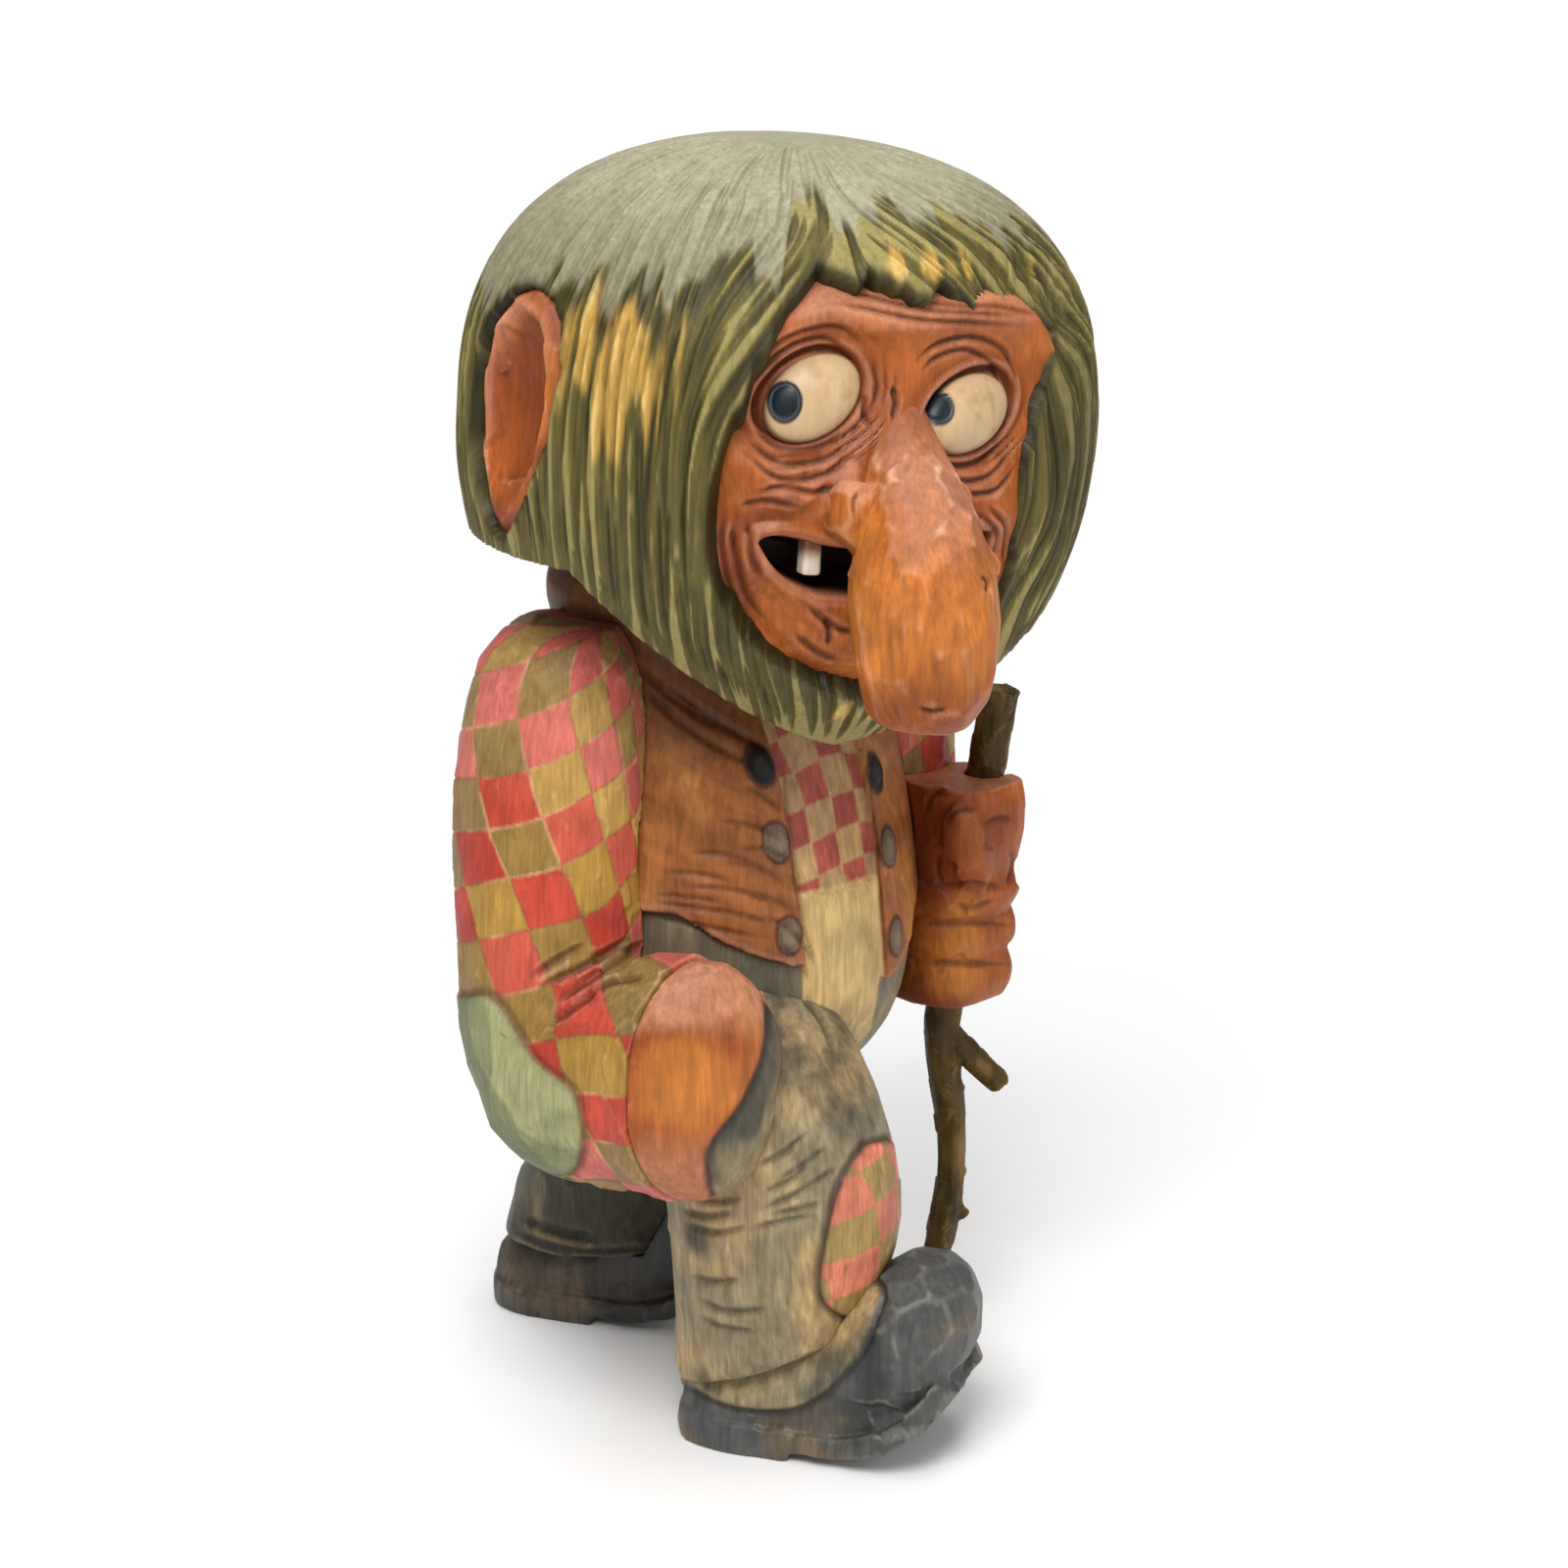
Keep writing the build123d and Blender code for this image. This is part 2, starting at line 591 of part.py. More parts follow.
def fist():
    """Stacked fingers, each rounded at its edges, with the thumb over the top one."""
    solid = None
    for low, high in zip(FINGER_LEVELS, FINGER_LEVELS[1:]):
        rings = []
        for level, inset in ((low, FINGER_GROOVE), ((low + high) / 2, 0), (high, FINGER_GROOVE)):
            centre = (staff_axis(level) + staff_axis(STAFF_GRIP[2])) / 2
            x, y = centre.X + FIST_OFFSET[0], centre.Y + FIST_OFFSET[1]
            rings.append((x, y, level, FIST_HALF_WIDTH - inset, FIST_HALF_DEPTH - inset))
        finger = level_loft(rings, 3.0)
        solid = finger if solid is None else solid + finger
    return solid + thumb() + wrist()


def wrist():
    """Heel of the hand, from behind the staff to the cuff."""
    x = STAFF_GRIP[0] + FIST_OFFSET[0]
    level = LEFT_ELBOW_LEVEL + 2
    return upright_loft((
        (x, STAFF_GRIP[1], level, 0.9 * WRIST_RADIUS, 1.1 * WRIST_RADIUS),
        (x, LEFT_CUFF_BACK, level, WRIST_RADIUS, 1.2 * WRIST_RADIUS),
    ))


def thumb():
    top = (FINGER_LEVELS[-2] + FINGER_LEVELS[-1]) / 2
    x = STAFF_GRIP[0] + FIST_OFFSET[0] - 0.5 * FIST_HALF_WIDTH
    y = STAFF_GRIP[1] + FIST_OFFSET[1] - 0.85 * FIST_HALF_DEPTH
    pad = ellipsoid((0, 0, 0), THUMB_RADIUS, 0.9 * THUMB_RADIUS, THUMB_HALF_LENGTH)
    return Pos(x, y, top - 3) * Rot(0, -20, 0) * pad


def staff_bore():
    length = 2 * (FINGER_LEVELS[-1] - FINGER_LEVELS[0])
    place = staff_plane((FINGER_LEVELS[0] + FINGER_LEVELS[-1]) / 2)
    return place * Cylinder(STAFF_RADIUS + STAFF_CLEARANCE, length)


# Legs and shoes, in the walking frame

WALK = Rot(0, 0, STRIDE_TURN)


def right_leg():
    """Bent front leg: across, back, height and the half-sizes of its level rings."""
    x, y = RIGHT_FOOT
    r = LEG_RADIUS
    shape = level_loft((
        (x + 3, y + 1, HIP_LEVEL, 0.87 * r, 1.04 * r),
        (x + 1, y - 9, HIP_LEVEL - 12, r, KNEE_RADIUS),
        (x - 1, y - 17, KNEE_LEVEL + 18, 1.04 * r, KNEE_RADIUS),
        (x - 1, y - 22, KNEE_LEVEL, 1.04 * r, KNEE_RADIUS),
        (x - 1, y - 23, KNEE_LEVEL - 20, r, 0.95 * KNEE_RADIUS),
        (x - 1, y - 21, RIGHT_HEM_LEVEL + 10, 0.95 * r, 1.02 * r),
        (x, y - 20, RIGHT_HEM_LEVEL - 20, 0.87 * r, 0.9 * r),
    ))
    return shape - below(RIGHT_HEM_LEVEL, -RIGHT_HEM_SLOPE, y - 20)


def left_leg():
    """Rear leg, leaning forward from its shoe to the hip."""
    x, y = LEFT_FOOT
    r = LEG_RADIUS
    shape = level_loft((
        (x - 10, y - 70, HIP_LEVEL, 0.87 * r, 1.04 * r),
        (x - 8, y - 64, HIP_LEVEL - 12, r, 1.13 * r),
        (x - 5, y - 55, KNEE_LEVEL + 14, r, 1.13 * r),
        (x - 3, y - 44, KNEE_LEVEL - 8, r, 1.13 * r),
        (x - 2, y - 34, LEFT_HEM_LEVEL + 18, r, 1.13 * r),
        (x - 1, y - 25, LEFT_HEM_LEVEL - 8, r, 1.1 * r),
    ))
    return shape - below(LEFT_HEM_LEVEL, -LEFT_HEM_SLOPE, y - 30)


# Upright rings of a shoe from heel to toe: place along it, half-width, middle height and half-height, as shares
SHOE_RINGS = (
    (0.01, 0.48, 0.17, 0.13),
    (0.11, 0.82, 0.16, 0.24),
    (0.32, 0.92, 0.22, 0.32),
    (0.54, 0.95, 0.30, 0.44),
    (0.70, 1.00, 0.46, 0.48),
    (0.84, 0.97, 0.60, 0.40),
    (0.93, 0.76, 0.67, 0.27),
    (0.993, 0.32, 0.69, 0.13),
)
SIDE = Plane((0, 0, 0), x_dir=(0, -1, 0), z_dir=(-1, 0, 0))


def toe_spring(offset):
    """Arc of the sprung toe, at an offset above the underside of the sole."""
    radius = TOE_SPRING_RADIUS - offset
    turn = 58
    end_x = SOLE_FLAT + radius * sin(turn * pi / 180)
    end_z = HEEL_HEIGHT + TOE_SPRING_RADIUS - radius * cos(turn * pi / 180)
    mid_x = SOLE_FLAT + radius * sin(turn * pi / 360)
    mid_z = HEEL_HEIGHT + TOE_SPRING_RADIUS - radius * cos(turn * pi / 360)
    return (SOLE_FLAT, HEEL_HEIGHT + offset), (mid_x, mid_z), (end_x, end_z)


def side_slab(outline):
    return extrude(SIDE * make_face(outline), FAR / 2, both=True)


def sole():
    """Plate with a heel, cut to a plan a little wider than the shoe."""
    low = toe_spring(0)
    high = toe_spring(SOLE_THICKNESS)
    rim = [high[0], (-FAR, HEEL_HEIGHT + SOLE_THICKNESS), (-FAR, 0), (HEEL_LENGTH, 0)]
    rim += [(HEEL_LENGTH, HEEL_HEIGHT), low[0]]
    outline = ThreePointArc(*low) + Line(low[2], high[2]) + ThreePointArc(*reversed(high)) + Polyline(*rim)
    plan = [(0, 0.5 * SOLE_WELT)]
    for share, wide, _, _ in SHOE_RINGS[1:-1]:
        plan.append((-wide * SHOE_HALF_WIDTH - SOLE_WELT, -share * SHOE_LENGTH))
    plan.append((0, -SHOE_LENGTH))
    for share, wide, _, _ in reversed(SHOE_RINGS[1:-1]):
        plan.append((wide * SHOE_HALF_WIDTH + SOLE_WELT, -share * SHOE_LENGTH))
    return side_slab(outline) & extrude(make_face(Spline(*plan, periodic=True)), FAR / 2, both=True)


def under_sole():
    """Everything under the sole, so that the upper stops on it."""
    low = toe_spring(SOLE_THICKNESS / 2)
    level = HEEL_HEIGHT + SOLE_THICKNESS / 2
    rim = [low[2], (FAR, low[2][1]), (FAR, -FAR), (-FAR, -FAR), (-FAR, level), low[0]]
    return side_slab(ThreePointArc(*low) + Polyline(*rim))


def shoe():
    """Shoe with its heel at the origin and its toe towards -Y."""
    rings = []
    for share, wide, middle, tall in SHOE_RINGS:
        rings.append((
            0, -share * SHOE_LENGTH, middle * SHOE_HEIGHT, wide * SHOE_HALF_WIDTH, tall * SHOE_HEIGHT,
        ))
    return upright_loft(rings, 2.3) - under_sole() + sole()


# Staff


def twig(root, tip, radius):
    """Cut stub of a side twig."""
    heading = Vector(*tip) - Vector(*root)
    thick = Plane(root, z_dir=heading) * RegularPolygon(1.25 * radius, STAFF_SIDES)
    thin = Plane(tip, z_dir=heading) * RegularPolygon(radius, STAFF_SIDES)
    return loft([thick, thin])


def staff():
    """Straight where the fist holds it, crooked below, with two twig stubs."""
    straight = staff_plane(STAFF_STRAIGHT_END)
    length = (STAFF_TOP - STAFF_STRAIGHT_END) * sqrt(1 + STAFF_LEAN[0] ** 2 + STAFF_LEAN[1] ** 2)
    shaft = extrude(straight * RegularPolygon(STAFF_RADIUS, STAFF_SIDES), length)
    top = staff_axis(STAFF_STRAIGHT_END)
    r = STAFF_RADIUS
    foot = Vector(*STAFF_FOOT, 0)
    bend = (
        (1.00, (0, 0), r),
        (0.85, (1.0, -0.8), 0.92 * r),
        (0.70, (2.8, -2.3), 0.82 * r),
        (0.52, (3.8, -3.2), 0.74 * r),
        (0.36, (3.0, -2.6), 0.78 * r),
        (0.20, (1.4, -1.2), 0.68 * r),
        (0.00, (0, 0), STAFF_FOOT_RADIUS),
    )
    rings = []
    for share, (dx, dy), radius in bend:
        centre = foot + (top - foot) * share + Vector(dx, dy, 0)
        rings.append(Plane(centre, x_dir=(1, 0, 0)) * RegularPolygon(radius, STAFF_SIDES))
    branch = loft(rings)
    out = Vector(STAFF_LEAN[0], STAFF_LEAN[1], 0).normalized()
    upper_root = foot + (top - foot) * 0.97
    upper = twig(upper_root, upper_root + out * TWIG_LENGTH - Vector(0, 0, TWIG_LENGTH), TWIG_RADIUS)
    lower_root = foot + (top - foot) * 0.45 + out * 3
    lower = twig(lower_root, lower_root + out * 0.4 * TWIG_LENGTH - Vector(0, 0, 0.4 * TWIG_LENGTH), 0.6 * TWIG_RADIUS)
    return shaft + branch + upper + lower


# Joinery and assembly


def dowels():
    """Hidden pins: node name, then for each pin its place, its size and the two pieces that it joins."""
    shoulders = []
    for x, arm in ((-SHOULDER_SPREAD, "right_arm"), (LEFT_SHOULDER_SPREAD, "left_arm")):
        place = Pos(0.9 * x, SHOULDER_BACK, SHOULDER_LEVEL - 8) * Rot(0, 90, 0)
        shoulders.append((place, LIMB_DOWEL, ("torso", arm)))
    hips = []
    ankles = []
    legs = (
        ("right", RIGHT_FOOT, (2, -5), (0, -20), RIGHT_HEM_LEVEL, RIGHT_HEM_SLOPE),
        ("left", LEFT_FOOT, (-6, -53), (-2, -28), LEFT_HEM_LEVEL, LEFT_HEM_SLOPE),
    )
    for name, (x, y), hip, ankle, hem, slope in legs:
        hip_place = WALK * Pos(x + hip[0], y + hip[1], CROTCH_LEVEL + 1)
        ankle_place = WALK * Pos(x + ankle[0], y + ankle[1], hem) * Rot(-slope, 0, 0)
        hips.append((hip_place, LIMB_DOWEL, ("torso", name + "_leg")))
        ankles.append((ankle_place, ANKLE_DOWEL, (name + "_leg", name + "_shoe")))
    hand_place = Pos(*RIGHT_CUFF) * Pos(-0.25 * ARM_RADIUS, 0, 0) * Rot(90, 0, 0)
    wrist_x = STAFF_GRIP[0] + FIST_OFFSET[0] + 0.6 * WRIST_RADIUS
    fist_place = Pos(wrist_x, LEFT_CUFF_BACK, LEFT_ELBOW_LEVEL + 2) * Rot(90, 0, 0)
    return {
        "neck_dowel": [(neck_dowel_place(), NECK_DOWEL, ("head", "torso"))],
        "nose_dowel": [(HEAD_PLACE * nose_dowel_place(), SMALL_DOWEL, ("head", "nose"))],
        "shoulder_dowels": shoulders,
        "hip_dowels": hips,
        "ankle_dowels": ankles,
        "hand_dowel": [(hand_place, SMALL_DOWEL, ("right_arm", "right_hand"))],
        "fist_dowel": [(fist_place, WRIST_DOWEL, ("left_arm", "left_fist"))],
    }


def cut_by(piece, *others):
    """Piece with the room of its neighbours taken out, reduced to its largest solid."""
    for other in others:
        piece = piece - other
    return piece.solids().sort_by(SortBy.VOLUME)[-1]


def head_nodes():
    """Head with its pockets, and the pieces that are let into them."""
    nodes = {"tooth": tooth()}
    face = head() - nodes["tooth"]
    for side, name in ((-1, "right"), (1, "left")):
        nodes[name + "_eye"] = eye(side)
        nodes[name + "_ear"] = ear(side)
        face = face - ear_place(side) * ear_drop(0) - ear_place(side) * ear_mouth() - nodes[name + "_eye"]
    nodes["nose"] = cut_by(nose(), nodes["right_eye"], nodes["left_eye"])
    nodes["head"] = face - nodes["nose"]
    return {name: HEAD_PLACE * solid for name, solid in nodes.items()}


def figure_nodes():
    """Every carved block, cut to its neighbours."""
    nodes = head_nodes()
    body = trunk()
    nodes["torso"] = body
    nodes["right_leg"] = cut_by(WALK * right_leg(), body)
    nodes["left_leg"] = cut_by(WALK * left_leg(), body)
    nodes["right_arm"] = cut_by(right_arm(), body, nodes["right_leg"], nodes["head"])
    nodes["left_arm"] = cut_by(left_arm(), body, nodes["left_leg"], nodes["head"])
    nodes["right_hand"] = cut_by(right_hand(), body, nodes["right_leg"], nodes["right_arm"])
    nodes["left_fist"] = cut_by(fist(), body, nodes["left_arm"], staff_bore())
    nodes["right_shoe"] = cut_by(WALK * Pos(*RIGHT_FOOT) * shoe(), nodes["right_leg"])
    nodes["left_shoe"] = cut_by(WALK * Pos(*LEFT_FOOT) * shoe(), nodes["left_leg"])
    nodes["staff"] = staff()
    return nodes


def main():
    os.makedirs("parts", exist_ok=True)
    nodes = figure_nodes()
    for name, pins in dowels().items():
        nodes[name] = Compound([dowel(place, size) for place, size, _ in pins])
        for place, size, joined in pins:
            for piece in joined:
                nodes[piece] = nodes[piece] - dowel(place, size, DOWEL_CLEARANCE)
    box = Compound(list(nodes.values())).bounding_box()
    middle = box.center()
    shift = Pos(-middle.X, -middle.Y, -box.min.Z)
    print("moved by", -middle.X, -middle.Y, -box.min.Z)
    for name, solid in nodes.items():
        export_step(shift * solid, f"parts/{name}.step")


if __name__ == "__main__":
    main()
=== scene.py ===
"""Looks for the carved troll: every block of the frame is carved again with strokes and cuts, and stained.

The carving works on points in millimetres in the figure's own frame. Features that the photograph shows
are placed by the pixels where they are seen, and lie on the block that carries them.
"""

import math

import bmesh
import bpy
import numpy as np
from mathutils import Matrix, Vector
from mathutils.kdtree import KDTree


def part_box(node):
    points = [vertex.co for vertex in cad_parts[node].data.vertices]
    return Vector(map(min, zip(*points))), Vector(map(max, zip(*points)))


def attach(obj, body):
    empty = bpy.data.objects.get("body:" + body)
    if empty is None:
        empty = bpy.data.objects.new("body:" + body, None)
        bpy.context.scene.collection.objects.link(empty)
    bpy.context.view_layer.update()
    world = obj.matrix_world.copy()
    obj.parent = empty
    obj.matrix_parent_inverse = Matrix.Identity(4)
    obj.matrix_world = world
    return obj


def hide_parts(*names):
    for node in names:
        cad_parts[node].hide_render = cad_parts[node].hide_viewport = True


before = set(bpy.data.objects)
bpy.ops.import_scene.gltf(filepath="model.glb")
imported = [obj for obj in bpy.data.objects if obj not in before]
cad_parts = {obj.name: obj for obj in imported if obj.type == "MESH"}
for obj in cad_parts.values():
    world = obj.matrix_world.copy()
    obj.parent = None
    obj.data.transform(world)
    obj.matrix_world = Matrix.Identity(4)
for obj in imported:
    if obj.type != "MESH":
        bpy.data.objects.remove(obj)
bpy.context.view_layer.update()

MM = 0.001
WHITE = (1.0, 1.0, 1.0, 1)

# The figure's frame: the shoulder dowels have their middle here in it
DOWEL_MIDDLE = np.array((-1.35, 24.0))

# Camera of the photograph, in the figure's frame, with pixels of the whole frame
FRAME_PX = 1600.0
CAMERA_AZIMUTH = math.radians(-42.0)
CAMERA_ELEVATION = math.radians(16.0)
CAMERA_DISTANCE = 900.0
CAMERA_TARGET = np.array((0.0, 0.0, 150.0))
FOCAL_PX = 3930.0
CENTRE_PX = np.array((800.0, 812.0))
PX_PER_MM = FOCAL_PX / CAMERA_DISTANCE

# Head egg of the frame
HEAD_HALF_WIDTH = 73.0
HEAD_HALF_DEPTH = 70.0
HEAD_RISE = 61.5
HEAD_DROP = 80.0
CROWN_POWER = 2.4
JAW_POWER = 2.15
HEAD_MIDDLE = np.array((0.0, 2.0, 241.0))
HEAD_YAW = math.radians(-16.0)
HEAD_ROLL = math.radians(4.0)
HAIR_DEPTH = 7.0
HAIR_HEM_DROP = 30.0
EAR_RIM_FROM = 58.0
EDGE_OVER_HEM = 7.0
RIGHT_EYE = (-21.0, 12.5)
LEFT_EYE = (17.5, 9.0)
BOTH_SIDES = (-1, 1)

# Share of a cut at each end over which it narrows, and how far a flat cut may move a point
TAPER = 0.25
CHISEL_LIMIT = 1.2


def figure_shift():
    """Move from the figure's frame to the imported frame, in millimetres."""
    middle = np.mean(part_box("shoulder_dowels"), axis=0) / MM
    return np.append(middle[:2] - DOWEL_MIDDLE, 0.0)


SHIFT = figure_shift()


# Small helpers


def stain(red, green, blue):
    """Linear colour of a stain, given as it shows on a screen."""
    c = np.array((red, green, blue)) / 255.0
    return np.where(c <= 0.04045, c / 12.92, ((c + 0.055) / 1.055) ** 2.4)


def unit(v):
    """Directions made 1 long."""
    return v / np.maximum(np.linalg.norm(v, axis=-1, keepdims=True), 1e-9)


def ramp(x, start, end):
    """Smooth step from 0 at start to 1 at end, which may lie below start."""
    t = np.clip((x - start) / (end - start), 0.0, 1.0)
    return t * t * (3 - 2 * t)


def bell(x, width):
    """Bell curve, 1 at its middle."""
    return np.exp(-((x / width) ** 2))


def hump(x, z, middle, half_x, half_z):
    """Bell curve over a plane."""
    return np.exp(-((x - middle[0]) / half_x) ** 2 - ((z - middle[1]) / half_z) ** 2)


def blend(a, b, share):
    """Colour a with a share of colour b."""
    return a + (b - a) * np.asarray(share)[..., None]


def dice(ix, iy, iz, seed):
    """Repeatable random share for each whole-numbered cell."""
    h = ix.astype(np.uint32) * np.uint32(374761393) + iy.astype(np.uint32) * np.uint32(668265263)
    h = h + iz.astype(np.uint32) * np.uint32(2246822519) + np.uint32(seed * 974634777 % 4294967296)
    h = (h ^ (h >> np.uint32(13))) * np.uint32(1274126177)
    h = h ^ (h >> np.uint32(16))
    return (h & np.uint32(0xFFFFFF)).astype(float) / 0xFFFFFF


def noise(points, size, seed):
    """Smooth noise from -1 to 1 with lumps of a size, or of a size for each axis."""
    q = points / np.asarray(size)
    cell = np.floor(q).astype(np.int64)
    f = q - cell
    f = f * f * (3 - 2 * f)
    total = np.zeros(len(points))
    for corner in np.ndindex(2, 2, 2):
        total += np.abs(1 - np.array(corner) - f).prod(1) * dice(*(cell + corner).T, seed)
    return 2 * total - 1


def cloud(points, size, seed):
    """Noise of three sizes."""
    size = np.asarray(size, float)
    total = noise(points, size, seed) + 0.5 * noise(points, size / 2, seed + 1)
    return (total + 0.25 * noise(points, size / 4, seed + 2)) / 1.4


def smooth_path(points, steps=10):
    """Dense smooth line through a few points."""
    p = np.asarray(points, float)
    ends = np.vstack((2 * p[0] - p[1], p, 2 * p[-1] - p[-2]))
    t = (np.arange(steps) / steps)[:, None]
    out = []
    for a, b, c, d in zip(ends, ends[1:], ends[2:], ends[3:]):
        bend = (2 * a - 5 * b + 4 * c - d) * t**2 + (3 * b - a - 3 * c + d) * t**3
        out.append(0.5 * (2 * b + (c - a) * t + bend))
    return np.vstack((*out, p[-1]))


def smooth_ring(corners, steps=6):
    """Dense smooth closed outline through a few corners."""
    p = list(corners)
    return smooth_path(p[-2:] + p + p[:2], steps)[2 * steps:-2 * steps]


def to_path(places, path):
    """Distance of flat places to a dense line, and how far along it the nearest point lies."""
    a, ab = path[:-1], np.diff(path, axis=0)
    length = (ab**2).sum(1)
    best = np.full(len(places), 1e9)
    share = np.zeros(len(places))
    for k in range(len(a)):
        t = np.clip(((places - a[k]) @ ab[k]) / length[k], 0, 1)
        d = np.hypot(*(places - a[k] - t[:, None] * ab[k]).T)
        near = d < best
        best[near] = d[near]
        share[near] = (k + t[near]) / len(a)
    return best, share


def cut_along(places, points, width):
    """Share of a tapered V-shaped cut, 1 in the middle of its bottom, along a line through a few points."""
    path = smooth_path(points)
    low, high = path.min(0) - width, path.max(0) + width
    near = np.all((places > low) & (places < high), axis=1)
    out = np.zeros(len(places))
    if near.any():
        d, t = to_path(places[near], path)
        ends = ramp(t, -0.02, TAPER) * ramp(1 - t, -0.02, TAPER)
        local = width * (0.35 + 0.65 * ends)
        out[near] = np.clip(1 - d / local, 0, 1) ** 1.2 * ends
    return out


def inside(places, corners):
    """Signed distance to a closed outline, positive inside it."""
    ring = np.asarray(corners, float)
    closed = np.vstack((ring, ring[:1]))
    d, _ = to_path(places, closed)
    odd = np.zeros(len(places), bool)
    for (ax, ay), (bx, by) in zip(closed, closed[1:]):
        if ay == by:
            continue
        crosses = (places[:, 1] < ay) != (places[:, 1] < by)
        odd ^= crosses & (places[:, 0] < ax + (places[:, 1] - ay) / (by - ay) * (bx - ax))
    return np.where(odd, d, -d)


def grid_faces(index):
    """Four-sided faces between the points of a grid of indices."""
    corners = index[:-1, :-1], index[1:, :-1], index[1:, 1:], index[:-1, 1:]
    return np.stack(corners, axis=-1).reshape(-1, 4)


def round_faces(rows, columns):
    """Faces of a grid whose last column joins its first."""
    index = np.arange(rows * columns).reshape(rows, columns)
    return grid_faces(np.hstack((index, index[:, :1])))


def put(name, data):
    """New object in the scene."""
    obj = bpy.data.objects.new(name, data)
    bpy.context.scene.collection.objects.link(obj)
    return obj


# Camera


def camera_frame():
    """Place of the camera and its forward, right and up directions, in the figure's frame."""
    flat = CAMERA_DISTANCE * math.cos(CAMERA_ELEVATION)
    rise = CAMERA_DISTANCE * math.sin(CAMERA_ELEVATION)
    offset = np.array((flat * math.sin(CAMERA_AZIMUTH), -flat * math.cos(CAMERA_AZIMUTH), rise))
    forward = -offset / CAMERA_DISTANCE
    right = unit(np.cross(forward, (0, 0, 1)))
    return CAMERA_TARGET + offset, forward, right, np.cross(right, forward)


EYE_POINT, FORWARD, RIGHTWARD, UPWARD = camera_frame()


def to_photo(points):
    """Pixels at which points show in the photograph."""
    d = points - EYE_POINT
    flat = np.column_stack((d @ RIGHTWARD, -(d @ UPWARD)))
    return CENTRE_PX + FOCAL_PX * flat / (d @ FORWARD)[:, None]


def sight_line(pixel):
    """Direction from the camera through a pixel."""
    x, y = (pixel - CENTRE_PX) / FOCAL_PX
    return unit(FORWARD + x * RIGHTWARD - y * UPWARD)


# Carved meshes


class Carving:
    """Mesh that is carved by moving its points and stained point by point."""

    def __init__(self, name, points, faces):
        self.name = name
        self.points = points
        self.faces = faces
        self.dark = np.zeros(len(points))
        self.colour = np.zeros((len(points), 3))
        sides = faces.shape[1]
        pairs = np.vstack([faces[:, (k, (k + 1) % sides)] for k in range(sides)])
        self.links = np.vstack((pairs, pairs[:, ::-1]))
        self.link_count = np.maximum(np.bincount(self.links[:, 0], minlength=len(points)), 1)
        self.update()

    def update(self):
        """Normals, and how and where the points show in the photograph."""
        p, f = self.points, self.faces
        flat = np.cross(p[f[:, 2]] - p[f[:, 0]], p[f[:, -1]] - p[f[:, 1]])
        total = np.zeros_like(p)
        for corner in f.T:
            for axis in range(3):
                total[:, axis] += np.bincount(corner, flat[:, axis], len(p))
        self.normals = unit(total)
        self.photo = to_photo(p)
        self.facing = (self.normals * unit(EYE_POINT - p)).sum(1)

    def mean(self, values):
        """Mean of each point's neighbours."""
        values = values.reshape(len(self.points), -1)
        here, there = self.links.T
        sums = [np.bincount(here, column[there], len(values)) for column in values.T]
        return np.column_stack(sums) / self.link_count[:, None]

    def relax(self, rounds):
        """Moves each point halfway to the mean of its neighbours."""
        for _ in range(rounds):
            self.points = self.points + 0.5 * (self.mean(self.points) - self.points)
        self.update()

    def push(self, height):
        """Moves points out of the surface, or into it where height is negative."""
        self.points = self.points + self.normals * height[:, None]
        self.update()

    def stand(self):
        """Brings points below the floor up to it."""
        self.points[:, 2] = np.maximum(self.points[:, 2], 0.0)

    def hollow(self, rounds=2):
        """How deep each point lies in a groove, in millimetres, negative on ridges."""
        value = ((self.mean(self.points) - self.points) * self.normals).sum(1)
        for _ in range(rounds):
            value = self.mean(value)[:, 0]
        return value

    def groove(self, start, end):
        """Share of a groove, by its depth."""
        return ramp(self.hollow(), start, end)

    def ridge(self, start, end, rounds=2):
        """Share of a ridge, by its height."""
        return ramp(-self.hollow(rounds), start, end)

    def strokes(self, paths, width, depth):
        """Gouge cuts along lines of pixels, on what faces the camera."""
        total = np.zeros(len(self.points))
        seen = ramp(self.facing, 0.0, 0.15)
        for path in paths:
            total = np.maximum(total, seen * cut_along(self.photo, path, width * PX_PER_MM))
        self.dark = np.maximum(self.dark, total)
        self.push(-depth * total)

    def zone(self, corners, soft):
        """Share of an outlined patch of the photograph, on what faces the camera, and pixels to its edge."""
        d = inside(self.photo, smooth_ring(corners))
        return ramp(d, -soft, soft) * ramp(self.facing, 0.02, 0.12), d

    def rim(self, d, width):
        """Share of the edge of a zone, as wide as some pixels."""
        return bell(d, width) * ramp(self.facing, 0.02, 0.2)

    def chisel(self, spacing, share, seed, where=1.0):
        """Flat cuts: each point moves towards the plane of the nearest cut. Gives a share for each cut."""
        order = np.random.default_rng(seed).permutation(len(self.points))
        cell = np.floor(self.points[order] / spacing).astype(np.int64)
        chosen = order[np.unique(cell, axis=0, return_index=True)[1]]
        soft = self.normals
        for _ in range(6):
            soft = self.mean(soft)
        soft = unit(soft)
        tree = KDTree(len(chosen))
        for k, i in enumerate(chosen):
            tree.insert(self.points[i], k)
        tree.balance()
        owner = np.array([chosen[tree.find(p)[1]] for p in self.points])
        lift = ((self.points - self.points[owner]) * soft[owner]).sum(1)
        lift = np.clip(lift, -CHISEL_LIMIT, CHISEL_LIMIT) * share * where
        self.points = self.points - soft[owner] * lift[:, None]
        self.update()
        return dice(owner, owner // 7, owner // 31, seed)

    def tint(self, colour, share):
        """Lays a stain over what is there."""
        self.colour = blend(self.colour, colour, share)

    def shade(self, factor):
        """Makes the stain darker or lighter."""
        self.colour = self.colour * np.asarray(factor)[..., None]

